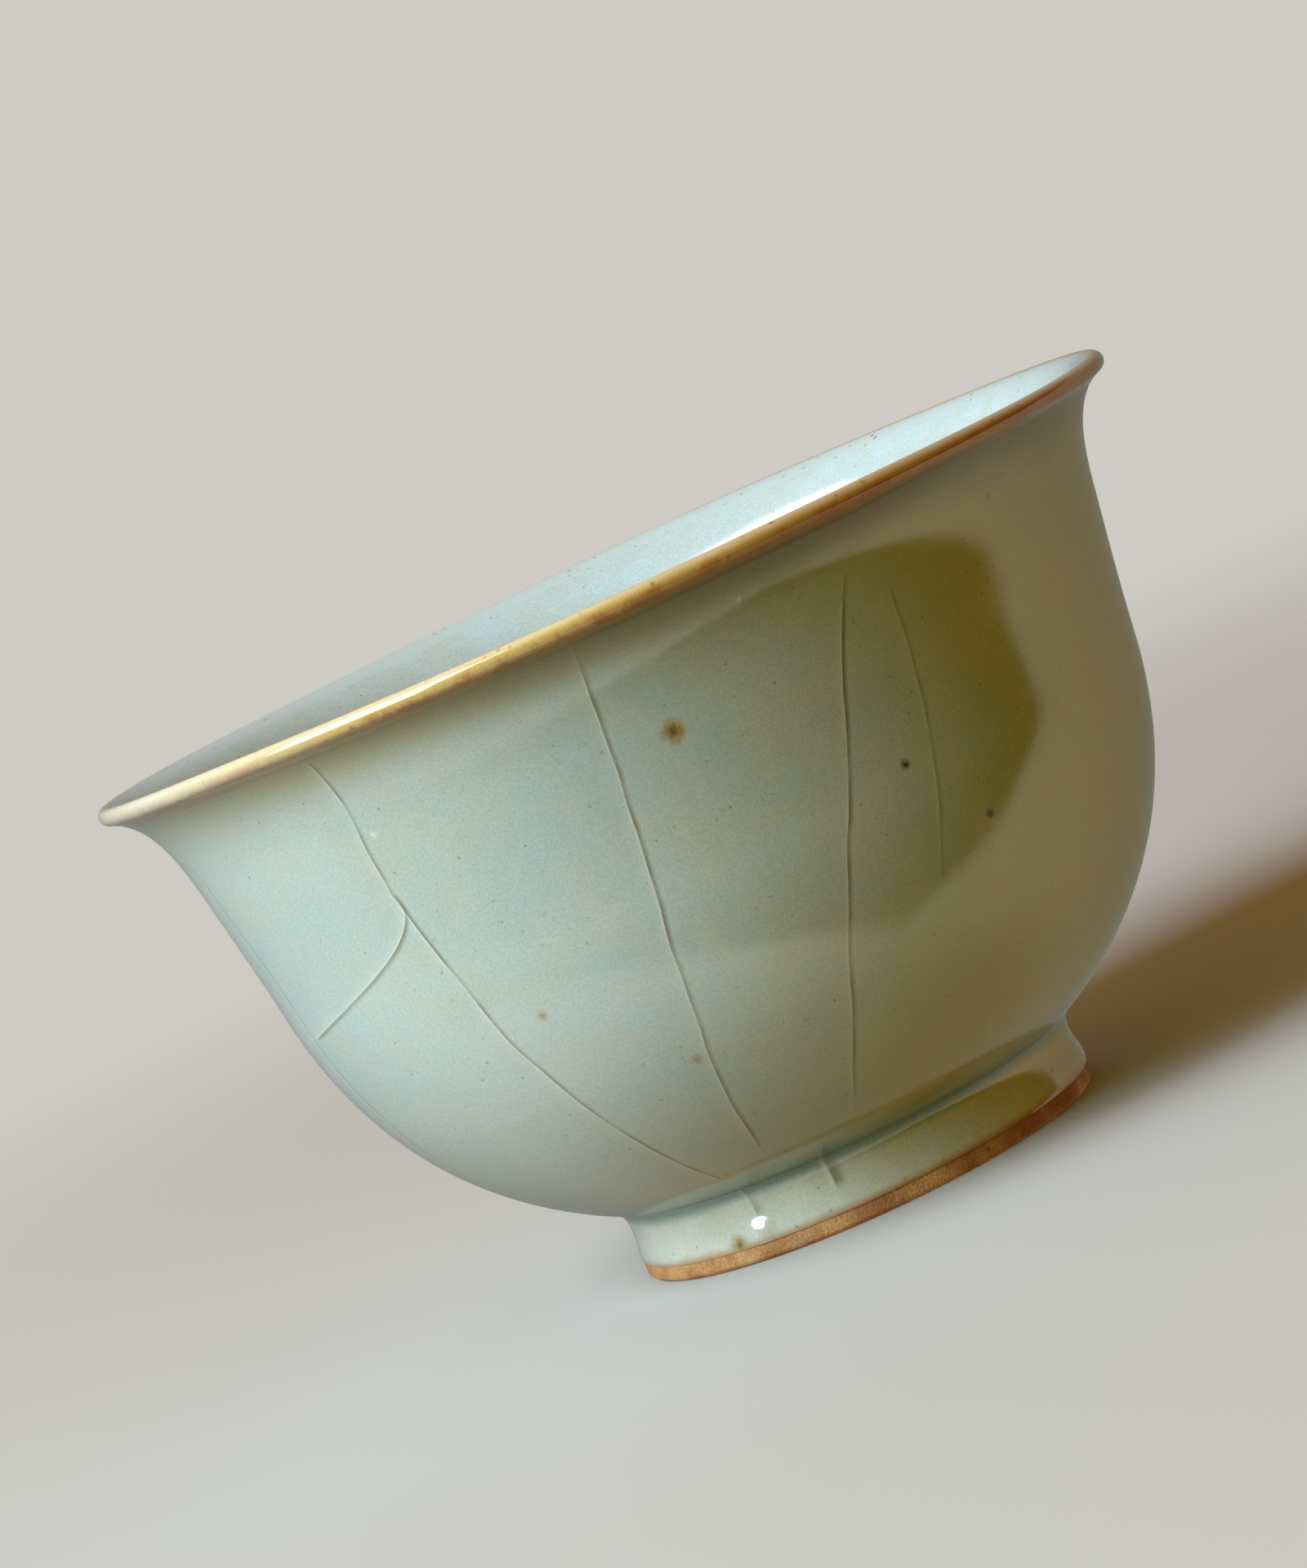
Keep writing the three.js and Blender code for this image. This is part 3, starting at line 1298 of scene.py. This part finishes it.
@dataclass(frozen=True)
class Celadon(Finish):
    """A blue-green glaze over iron-bearing clay, with cracks drawn as painted shade and painted
    highlight, specks and a darkened top edge.

    It pools over the foot, darkens under the lip and turns ochre at the lip itself. The darkening
    under the lip is partly iron stain and partly painted shade on the flare; it is richer towards
    the cup's shaded right side and thinner towards its lit left side, partly as painted shade and
    light. A few pale spots are painted highlights. A stretch across the cup is given by its two
    ends in millimetres.
    """

    ior: float = 1.8
    tone: Colour = (0.36, 0.46, 0.43)
    cool_tone: Colour = (0.32, 0.445, 0.44)
    warm_tone: Colour = (0.41, 0.44, 0.35)
    deep_tone: Colour = (0.07, 0.19, 0.15)
    ochre: Colour = (0.52, 0.37, 0.10)
    # Colours of the band under the lip; the richer one also stands in for painted shade on the shaded
    # side.
    stain: Colour = (0.30, 0.31, 0.14)
    rich_stain_and_shade: Colour = (0.17, 0.18, 0.07)
    speck: Colour = (0.10, 0.10, 0.07)
    tan_speck: Colour = (0.26, 0.22, 0.10)
    # Colours of the cracks' painted highlight and painted shade.
    painted_highlight_tone: Colour = (0.72, 0.78, 0.74)
    painted_shade_tone: Colour = (0.13, 0.135, 0.07)
    pool: Rise = Rise(5.6, 8.3, 0.9)
    pool_share: float = 0.88
    # Band under the lip: partly iron stain, partly painted shade on the flare.
    stained: Rise = Rise(45.3, 49.6, 1.2)
    ochred: Rise = Rise(49.3, 50.2, 0.8)
    # Across the cup: richer towards the shaded side, thinner towards the lit side, partly painted shade
    # and light.
    richer_on_shaded_side_across: Span = (-22.0, 12.0)
    thinner_on_lit_side_across: Span = (-40.0, -24.0)
    thinner_on_lit_side_share: float = 0.6
    clouds: Clouds = Clouds(55.0, 2.0, 0.5, 0.35, 0.68)
    drifts: Clouds = Clouds(260.0, 3.0, 0.6, 0.3, 0.7)
    warm_share: float = 0.5
    grains: Grains = Grains(0.2, 0.95, 0.17, 0.8)
    grain_shades: Span = (0.92, 1.05)
    speck_share: float = 0.6
    tan_share: float = 0.5
    # Shares of the cracks' painted highlight and painted shade.
    painted_highlight_share: float = 0.6
    painted_shade_share: float = 0.85
    halo_share: float = 0.95
    ripples: float = 130.0
    ripple_height: float = 0.7
    grain_height: float = 0.12
    gloss: float = 0.13
    gloss_drift: Span = (0.8, 1.3)
    cracks: tuple[CrackleLine, ...] = ()
    spots: tuple[IronSpot, ...] = ()
    line: tuple[Vector, ...] = ()

    def body_colour(self, sheet: NodeSheet, where: Socket, effects: Effects, drift: Socket) -> Socket:
        """Lay down the glaze's own colour, where it pools, and the band under the lip, which is partly
        iron stain and partly painted shade.

        Args:
            sheet: The material's nodes.
            where: The place on the piece.
            effects: The shared node groups.
            drift: The mask of the warmer clouds.

        Returns:
            The colour.
        """
        colour = sheet.blend(self.clouds.mask(sheet, where), self.cool_tone, self.tone)
        colour = sheet.blend(sheet.times(drift, self.warm_share), colour, self.warm_tone)
        pooled = sheet.minus(1.0, self.pool.mask(sheet, where, effects))
        colour = sheet.blend(sheet.times(pooled, self.pool_share), colour, self.deep_tone)
        # Partly painted shade: the band darkens the flare, richer towards the shaded right and thinner
        # towards the lit left.
        side = sheet.axes(where)[0]
        stain = sheet.blend(sheet.span(side, self.richer_on_shaded_side_across), self.stain, self.rich_stain_and_shade)
        low, high = self.thinner_on_lit_side_across
        share = sheet.ramp(side, low * MM, high * MM, self.thinner_on_lit_side_share, 1.0)
        edge = sheet.times(self.stained.mask(sheet, where, effects), share)
        colour = sheet.blend(edge, colour, stain)
        return sheet.blend(self.ochred.mask(sheet, where, effects), colour, self.ochre)

    def marked(self, sheet: NodeSheet, where: Socket, effects: Effects, colour: Socket) -> Socket:
        """Lay the cracks, as painted shade and painted highlight, and the spots over a colour.

        Args:
            sheet: The material's nodes.
            where: The place on the piece.
            effects: The shared node groups.
            colour: The colour under them.

        Returns:
            The marked colour.
        """
        for index, crack in enumerate(self.cracks):
            # Each crack lays a painted highlight, then painted shade.
            dark, painted_highlight = crack.draw(sheet, effects.crackle, where, SEED_STEP * index)
            colour = sheet.blend(sheet.times(painted_highlight, self.painted_highlight_share), colour, self.painted_highlight_tone)
            colour = sheet.blend(sheet.times(dark, self.painted_shade_share), colour, self.painted_shade_tone)
        # Spots: iron stains, and pale spots painted as highlights.
        for spot in self.spots:
            core, halo = spot.kind.value
            centre = spot.centre(list(self.line))
            made = effects.spot.use(sheet, Vector=where, Centre=centre, Radius=spot.radius * MM)
            share = sheet.times(made["Halo"], self.halo_share * spot.strength)
            colour = sheet.blend(share, colour, halo)
            colour = sheet.blend(sheet.times(made["Core"], spot.strength), colour, core)
        return colour

    def paint(self, sheet: NodeSheet, where: Socket, effects: Effects) -> Surface:
        """Lay down tone clouds, grain, specks, marks and a gently rippled surface.

        Args:
            sheet: The material's nodes.
            where: The place on the piece.
            effects: The shared node groups.

        Returns:
            What the shader needs of it.
        """
        drift = self.drifts.mask(sheet, where)
        colour = self.body_colour(sheet, where, effects, drift)
        grain = self.grains.lay(sheet, where, effects)
        colour = sheet.scaled(colour, sheet.ramp(grain["Grain"], 0.0, 1.0, *self.grain_shades))
        colour = sheet.blend(sheet.times(grain["Dark Specks"], self.speck_share), colour, self.speck)
        colour = sheet.blend(sheet.times(grain["Pits"], self.tan_share), colour, self.tan_speck)
        colour = self.marked(sheet, where, effects, colour)
        smoothest, roughest = (self.gloss * share for share in self.gloss_drift)
        roughness = sheet.ramp(drift, 0.0, 1.0, smoothest, roughest)
        ripple = sheet.times(sheet.noise(where, self.ripples, 1.0), self.ripple_height)
        relief = sheet.plus(ripple, sheet.times(grain["Relief"], self.grain_height))
        return Surface(colour, roughness, relief)


@dataclass(frozen=True)
class IronLip(Celadon):
    """The same glaze run thin over an iron wash, with brown specks and a cream top edge that is partly
    thin glaze and partly painted highlight.

    The wash is paler towards the cup's lit left side and richer towards its shaded right side,
    partly as painted light and shade. The middle is the centre of the lip's round in metres, and
    the lean is the lip's in degrees. A stretch of the bead is given by its two ends in millimetres:
    heights for the first three, then distances across the lip's middle line, in from it and across
    the cup.
    """

    ior: float = 1.6
    gloss: float = 0.045
    middle: Vector = field(default_factory=Vector)
    lean: float = 0.0
    edge_rises: Span = (49.5, 50.2)
    orange_fades: Span = (51.0, 50.4)
    cream_and_highlight_rises: Span = (50.75, 51.2)
    upper_side: Span = (-0.2, -0.5)
    inward: float = 0.6
    # Across the cup: paler on the lit side, richer on the shaded side, partly painted light and shade.
    paler_on_lit_side_across: Span = (-18.0, -40.0)
    rich_wash_on_shaded_side_across: Span = (-12.0, 22.0)
    waver: float = 0.45
    patches: Clouds = Clouds(330.0, 4.0, 0.65, 0.46, 0.60)
    flecks: Grains = Grains(0.35, 0.9, 0.34, 0.8)
    fleck_clouds: Clouds = Clouds(110.0, 3.0, 0.6, 0.35, 0.65, 0.2)
    orange_share: float = 0.8
    cream_and_highlight_share: float = 0.7
    paler_on_lit_side_share: float = 0.6
    rich_wash_on_shaded_side_share: float = 0.64
    brown_share: float = 0.85
    relief_share: float = 0.4
    inner_tone: Colour = (0.44, 0.52, 0.51)
    # Cream of the top edge: partly thin glaze, partly painted highlight.
    cream: Colour = (0.70, 0.58, 0.34)
    brown: Colour = (0.20, 0.075, 0.012)
    orange: Colour = (0.38, 0.15, 0.02)
    # Paler wash on the lit side and richer wash on the shaded side: partly painted light and shade.
    pale: Colour = (0.52, 0.53, 0.46)
    rich: Colour = (0.38, 0.19, 0.035)

    def on_bead(self, sheet: NodeSheet, where: Socket) -> tuple[Socket, Socket, Socket]:
        """Find a place on the lip's bead.

        Args:
            sheet: The material's nodes.
            where: The place on the piece.

        Returns:
            Its radius, its height, and how far it lies outside the lip's middle line.
        """
        x, y, z = sheet.axes(where)
        level = sheet.add("ShaderNodeCombineXYZ", X=x, Y=y).outputs[0]
        radius = sheet.vector("LENGTH", level).outputs["Value"]
        square = leaning(self.lean)
        outward = sheet.times(sheet.minus(radius, self.middle.x), square.z)
        upward = sheet.times(sheet.minus(z, self.middle.z), square.x)
        return radius, z, sheet.minus(outward, upward)

    def paint(self, sheet: NodeSheet, where: Socket, effects: Effects) -> Surface:
        """Add the cream edge with its painted highlight, the stains, the painted light and shade across
        the cup and the specks of the lip.

        Args:
            sheet: The material's nodes.
            where: The place on the piece.
            effects: The shared node groups.

        Returns:
            What the shader needs of it.
        """
        surface = super().paint(sheet, where, effects)
        waver = sheet.minus(sheet.noise(where, 420.0, 3.0, 0.6), 0.5)
        radius, height, across = self.on_bead(sheet, where)
        wavered = sheet.plus(height, sheet.times(waver, self.waver * MM))
        near_edge = sheet.span(height, self.edge_rises)
        stained = sheet.times(self.patches.mask(sheet, where), near_edge)
        stained = sheet.times(stained, sheet.span(height, self.orange_fades))
        colour = sheet.blend(sheet.times(stained, self.orange_share), surface.colour, self.orange)
        # Cream top edge: partly thin glaze, partly painted highlight.
        cream = sheet.times(sheet.span(wavered, self.cream_and_highlight_rises), self.cream_and_highlight_share)
        colour = sheet.blend(cream, colour, self.cream)
        # Paler towards the lit left side and richer towards the shaded right side: partly painted light
        # and shade.
        side = sheet.axes(where)[0]
        pale = sheet.times(sheet.span(side, self.paler_on_lit_side_across), near_edge)
        colour = sheet.blend(sheet.times(pale, self.paler_on_lit_side_share), colour, self.pale)
        rich = sheet.times(sheet.span(side, self.rich_wash_on_shaded_side_across), near_edge)
        colour = sheet.blend(sheet.times(rich, self.rich_wash_on_shaded_side_share), colour, self.rich)
        inward = sheet.ramp(radius, self.middle.x, self.middle.x - self.inward * MM)
        inside = sheet.times(sheet.span(across, self.upper_side), inward)
        colour = sheet.blend(inside, colour, self.inner_tone)
        flecks = self.flecks.lay(sheet, where, effects)
        amount = sheet.times(flecks["Dark Specks"], near_edge)
        amount = sheet.times(amount, self.fleck_clouds.mask(sheet, where))
        colour = sheet.blend(sheet.times(amount, self.brown_share), colour, self.brown)
        relief = sheet.times(surface.relief, self.relief_share)
        return Surface(colour, surface.roughness, relief)


@dataclass(frozen=True)
class PooledCeladon(Celadon):
    """The glaze on the foot: thin and brown at its lower edge, deep where it pools at the top."""

    thin_tone: Colour = (0.30, 0.17, 0.06)
    side_tone: Colour = (0.46, 0.52, 0.46)
    thinned: Rise = Rise(1.2, 2.1, 0.5)
    pool: Rise = Rise(4.4, 5.6, 0.5)
    clouds: Clouds = Clouds(140.0, 3.0, 0.5, 0.35, 0.65)

    def body_colour(self, sheet: NodeSheet, where: Socket, effects: Effects, drift: Socket) -> Socket:
        """Lay down the thin edge, the side and the pool.

        Args:
            sheet: The material's nodes.
            where: The place on the piece.
            effects: The shared node groups.
            drift: The mask of the warmer clouds, which the foot's colour leaves out.

        Returns:
            The colour.
        """
        colour = sheet.blend(self.clouds.mask(sheet, where), self.side_tone, self.warm_tone)
        colour = sheet.blend(self.thinned.mask(sheet, where, effects), self.thin_tone, colour)
        pooled = sheet.times(self.pool.mask(sheet, where, effects), self.pool_share)
        return sheet.blend(pooled, colour, self.deep_tone)


@dataclass(frozen=True)
class FiredClay(Finish):
    """Unglazed stoneware: sandy grain, iron specks and patches toasted by the fire."""

    tone: Colour = (0.46, 0.25, 0.085)
    toasted: Colour = (0.27, 0.105, 0.03)
    ash: Colour = (0.50, 0.36, 0.20)
    speck: Colour = (0.05, 0.025, 0.012)
    relief_depth: float = 0.05 * MM
    patches: Clouds = Clouds(170.0, 4.0, 0.6, 0.38, 0.64)
    ash_clouds: Clouds = Clouds(420.0, 3.0, 0.6, 0.55, 0.75)
    ash_share: float = 0.5
    sand: Grains = Grains(0.16, 0.9, 0.22, 0.7)
    sand_shades: Span = (0.78, 1.12)
    speck_share: float = 0.8
    roughness: Span = (0.62, 0.8)

    def paint(self, sheet: NodeSheet, where: Socket, effects: Effects) -> Surface:
        """Lay down toasted patches, sand and specks.

        Args:
            sheet: The material's nodes.
            where: The place on the piece.
            effects: The shared node groups.

        Returns:
            What the shader needs of it.
        """
        patches = self.patches.mask(sheet, where)
        colour = sheet.blend(patches, self.tone, self.toasted)
        ashen = sheet.times(self.ash_clouds.mask(sheet, where), self.ash_share)
        colour = sheet.blend(ashen, colour, self.ash)
        sand = self.sand.lay(sheet, where, effects)
        colour = sheet.scaled(colour, sheet.ramp(sand["Grain"], 0.0, 1.0, *self.sand_shades))
        colour = sheet.blend(sheet.times(sand["Dark Specks"], self.speck_share), colour, self.speck)
        roughness = sheet.ramp(patches, 0.0, 1.0, *self.roughness)
        return Surface(colour, roughness, sand["Relief"])


# ---------------------------------------------------------------------------------------
# The cup's pieces
# ---------------------------------------------------------------------------------------


class Finishes:
    """Every finish of the cup, and its material."""

    def __init__(self, form: CupForm) -> None:
        """Choose the finishes.

        Args:
            form: The cup's form, which places the marks on its surfaces.
        """
        self.effects = Effects()
        self.materials: dict[str, bpy.types.Material] = {}
        outside = [station.at for station in form.hip] + form.depth_line(0, 0)[1:]
        inside = [station.under(form.glaze) for station in form.floor] + form.depth_line(2, 1)[1:]
        self.outside = Celadon(
            "celadon_outside", cracks=FRONT_CRACKS + BACK_CRACKS, spots=OUTER_SPOTS, line=tuple(outside)
        )
        self.inside = Celadon(
            "celadon_inside",
            tone=(0.46, 0.54, 0.53),
            cool_tone=(0.42, 0.54, 0.56),
            pool=Rise(8.0, 12.0, 0.9),
            pool_share=0.35,
            stained=OVER_THE_LIP,
            ochred=OVER_THE_LIP,
            cracks=INNER_CRACKS,
            spots=INNER_SPOTS,
            line=tuple(inside),
        )
        self.pooled = PooledCeladon(
            "celadon_pooled", cracks=FOOT_CRACKS, spots=FOOT_SPOTS, line=tuple(form.foot_glaze_surface)
        )
        self.lip = IronLip("iron_lip", middle=form.lip_middle, lean=form.lip_lean)
        self.toasted = FiredClay("toasted_clay")
        pale, sandy, ash = (0.46, 0.40, 0.31), (0.38, 0.31, 0.22), (0.52, 0.48, 0.40)
        self.clay = FiredClay("clay", tone=pale, toasted=sandy, ash=ash)

    def material(self, finish: Finish) -> bpy.types.Material:
        """Find a finish's material, or make it the first time it is asked for.

        Args:
            finish: The finish.

        Returns:
            Its material.
        """
        if finish.slot not in self.materials:
            self.materials[finish.slot] = finish.material(self.effects)
        return self.materials[finish.slot]


@dataclass
class PieceMaker:
    """Turns the cup's layers and puts each in the place of its CAD node."""

    turner: Turner
    finishes: Finishes
    made: list[bpy.types.Object] = field(default_factory=list)

    def make(
        self, name: str, node: str, outline: Outline, finish: Finish, drips: Sequence[Drip] = ()
    ) -> None:
        """Make one layer.

        Args:
            name: The piece's own name.
            node: The CAD node it stands for.
            outline: Its closed outline.
            finish: Its finish.
            drips: Beads of glaze that stand out from it.
        """
        piece = self.turner.turn(name, outline, drips)
        piece.data.materials.append(self.finishes.material(finish))
        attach(piece, "root")
        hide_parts(node)
        self.made.append(piece)
        log.info("%s: %d faces in place of %s", name, len(piece.data.polygons), node)


@dataclass
class Bowl:
    """The thrown bowl with its glaze skins and its iron-dressed lip."""

    form: CupForm
    finishes: Finishes

    def build(self, maker: PieceMaker) -> None:
        """Make the bowl's four layers.

        Args:
            maker: What turns and dresses them.
        """
        maker.make("thrown_bowl", "clay_bowl", self.form.bowl_clay(), self.finishes.clay)
        maker.make("outside_skin", "outer_glaze", self.form.outside_glaze(), self.finishes.outside)
        maker.make("inside_skin", "inner_glaze", self.form.inside_glaze(), self.finishes.inside)
        maker.make("lip_cap", "lip_iron_band", self.form.lip_band(), self.finishes.lip)


@dataclass
class Foot:
    """The turned foot ring with its bare edge, its outside glaze and the glaze in its well."""

    form: CupForm
    finishes: Finishes

    def build(self, maker: PieceMaker) -> None:
        """Make the foot's three layers.

        Args:
            maker: What turns and dresses them.
        """
        maker.make("turned_foot", "clay_foot_ring", self.form.foot_ring_clay(), self.finishes.toasted)
        skin = self.form.foot_ring_glaze()
        maker.make("foot_skin", "foot_glaze", skin, self.finishes.pooled, FOOT_DRIPS)
        maker.make("well_skin", "foot_well_glaze", self.form.foot_well_glaze(), self.finishes.pooled)


# ---------------------------------------------------------------------------------------
# The studio
# ---------------------------------------------------------------------------------------


@dataclass(frozen=True)
class StudioCamera:
    """The camera: its place and clipping in metres, its turns in degrees, its lens in millimetres."""

    height: float = 0.06661
    distance: float = 0.38478
    down: float = 4.721
    left: float = 0.395
    roll: float = 24.8
    lens: float = 114.12
    sensor: float = 36.0
    near: float = 0.01
    far: float = 20.0

    def build(self) -> None:
        """Make the camera and use it for the scene."""
        data = bpy.data.cameras.new("studio_camera")
        data.lens = self.lens
        data.sensor_width = self.sensor
        data.clip_start, data.clip_end = self.near, self.far
        camera = linked("studio_camera", data)
        yaw, pitch, roll = (math.radians(angle) for angle in (self.left, self.down, self.roll))
        turned = Matrix.Rotation(yaw, 4, "Z") @ Matrix.Rotation(math.pi / 2 - pitch, 4, "X")
        rolled = turned @ Matrix.Rotation(-roll, 4, "Z")
        camera.matrix_world = Matrix.Translation((0.0, -self.distance, self.height)) @ rolled
        bpy.context.scene.camera = camera


@dataclass(frozen=True)
class Softbox:
    """A soft rectangular light that faces the cup.

    The azimuth is in degrees from the front of the cup towards its right, the elevation is over
    the table, and the sizes are in metres. The radiance is in watts per square metre and
    steradian. A light that isn't mirrored lights the cup and leaves no highlight in its glaze.
    """

    name: str
    azimuth: float
    elevation: float
    distance: float
    width: float
    height: float
    radiance: float
    colour: Colour
    mirrored: bool = True

    def build(self) -> None:
        """Hang the light."""
        data = bpy.data.lights.new(self.name, "AREA")
        data.shape = "RECTANGLE"
        data.size = self.width
        data.size_y = self.height
        data.energy = self.radiance * math.pi * self.width * self.height
        data.color = self.colour
        light = linked(self.name, data)
        azimuth, elevation = math.radians(self.azimuth), math.radians(self.elevation)
        level = math.cos(elevation)
        way = Vector((math.sin(azimuth) * level, -math.cos(azimuth) * level, math.sin(elevation)))
        turned = way.to_track_quat("Z", "Y").to_matrix().to_4x4()
        light.matrix_world = Matrix.Translation(way * self.distance) @ turned
        light.visible_camera = False
        light.visible_glossy = self.mirrored


@dataclass(frozen=True)
class Surroundings:
    """The room round the cup: plain and pale to look at, and warm in its shadows.

    In reflections it is a pale cloth behind and below the cup, a dark room in front of it that gets
    lighter towards the window on the left, and a pale ceiling. An edge of the cloth is where a
    direction's own share and its slope times another share add up to the edge's start. The other
    pairs are shares of a direction along one axis, from one tone to the other.
    """

    backdrop: Colour = (0.61, 0.597, 0.552)
    ambient: Colour = (0.32, 0.160, 0.014)
    cloth_left: Colour = (1.25, 1.4, 1.45)
    cloth_right: Colour = (0.92, 0.89, 0.66)
    room_left: Colour = (0.85, 1.0, 0.9)
    room_right: Colour = (0.025, 0.018, 0.006)
    ceiling: Colour = (0.50, 0.55, 0.58)
    edge_softness: float = 0.035
    behind_slope: float = 1.1
    behind_start: float = 0.39
    below_slope: float = 0.27
    below_start: float = 0.655
    cloth_across: Span = (-0.7, 0.5)
    room_across: Span = (-0.95, 0.25)
    dim_behind: Span = (-0.3, 1.15)
    dim_below: Span = (-1.0, -0.62)
    dimmest_behind: float = 0.2
    dimmest_below: float = 0.45
    ceiling_rises: Span = (0.1, 0.6)

    def reflected(self, sheet: NodeSheet) -> Socket:
        """Work out what a reflected ray sees by its direction.

        Args:
            sheet: The world's nodes.

        Returns:
            The colour.
        """
        way = sheet.add("ShaderNodeTexCoord").outputs["Generated"]
        x, y, z = sheet.axes(way)
        behind = sheet.minus(sheet.minus(y, sheet.times(z, self.behind_slope)), self.behind_start)
        below = sheet.minus(sheet.times(z, -1.0), sheet.times(x, self.below_slope))
        nearest = sheet.math("MAXIMUM", behind, sheet.minus(below, self.below_start))
        cloth = sheet.ramp(nearest, -self.edge_softness, self.edge_softness)
        cloth_tone = sheet.blend(sheet.ramp(x, *self.cloth_across), self.cloth_left, self.cloth_right)
        cloth_tone = sheet.scaled(cloth_tone, sheet.ramp(y, *self.dim_behind, 1.0, self.dimmest_behind))
        cloth_tone = sheet.scaled(cloth_tone, sheet.ramp(z, *self.dim_below, self.dimmest_below, 1.0))
        room_tone = sheet.blend(sheet.ramp(x, *self.room_across), self.room_left, self.room_right)
        seen = sheet.blend(cloth, room_tone, cloth_tone)
        return sheet.blend(sheet.ramp(z, *self.ceiling_rises), seen, self.ceiling)

    def build(self) -> None:
        """Make the world."""
        world = bpy.data.worlds.new("studio_surroundings")
        sheet = NodeSheet.fresh(world)
        path = sheet.add("ShaderNodeLightPath")
        colour = sheet.blend(path.outputs["Is Glossy Ray"], self.ambient, self.reflected(sheet))
        colour = sheet.blend(path.outputs["Is Camera Ray"], colour, self.backdrop)
        background = sheet.add("ShaderNodeBackground", Color=colour, Strength=1.0)
        sheet.add("ShaderNodeOutputWorld", Surface=background.outputs["Background"])
        bpy.context.scene.world = world


@dataclass(frozen=True)
class Floor:
    """A plain pale disc that fades into the surroundings; its sizes are radii in metres."""

    radius: float = 0.5
    solid_to: float = 0.10
    gone_at: float = 0.42
    segments: int = 128
    tone: Colour = (0.47, 0.46, 0.43)

    def build(self) -> None:
        """Lay the floor."""
        bm = bmesh.new()
        bmesh.ops.create_circle(bm, cap_ends=True, segments=self.segments, radius=self.radius)
        floor = solid("studio_floor", bm)
        floor.data.materials.append(self.material())
        floor.visible_diffuse = False

    def material(self) -> bpy.types.Material:
        """Make the floor's matt material, clear towards its edge and in reflections.

        Returns:
            The material.
        """
        material = bpy.data.materials.new("studio_floor")
        sheet = NodeSheet.fresh(material)
        where = sheet.add("ShaderNodeTexCoord").outputs["Object"]
        away = sheet.vector("LENGTH", where).outputs["Value"]
        clear = sheet.ramp(away, self.solid_to, self.gone_at)
        mirrored = sheet.add("ShaderNodeLightPath").outputs["Is Glossy Ray"]
        share = sheet.math("MAXIMUM", clear, mirrored)
        matt = sheet.add("ShaderNodeBsdfDiffuse", Color=self.tone)
        through = sheet.add("ShaderNodeBsdfTransparent")
        both = sheet.add("ShaderNodeMixShader", Fac=share)
        sheet.feed(both.inputs[1], matt.outputs[0])
        sheet.feed(both.inputs[2], through.outputs[0])
        sheet.add("ShaderNodeOutputMaterial", Surface=both.outputs[0])
        return material


WINDOW = (0.83, 0.97, 1.13)
SOFTBOXES = (
    Softbox("window_low", -61.0, 24.0, 0.9, 0.62, 0.27, 11.6, WINDOW),
    Softbox("window_high", -61.0, 48.0, 0.9, 0.62, 0.40, 10.6, WINDOW),
    Softbox("front_fill", -30.0, 16.0, 0.9, 0.5, 0.4, 1.4, (0.45, 0.95, 0.12), mirrored=False),
    Softbox("back_fill", 188.0, 9.0, 0.9, 0.9, 0.28, 2.6, (1.0, 0.98, 0.95), mirrored=False),
)


def main() -> None:
    """Build the cup and its studio."""
    logging.basicConfig(level=logging.INFO, format="%(message)s")
    form = CupForm.from_frame()
    finishes = Finishes(form)
    maker = PieceMaker(Turner(form, ThrowingMarks()), finishes)
    Bowl(form, finishes).build(maker)
    Foot(form, finishes).build(maker)
    Floor().build()
    StudioCamera().build()
    for softbox in SOFTBOXES:
        softbox.build()
    Surroundings().build()
    bpy.context.scene.view_settings.view_transform = "Standard"
    log.info("%d pieces made", len(maker.made))


if __name__ == "__main__":
    main()
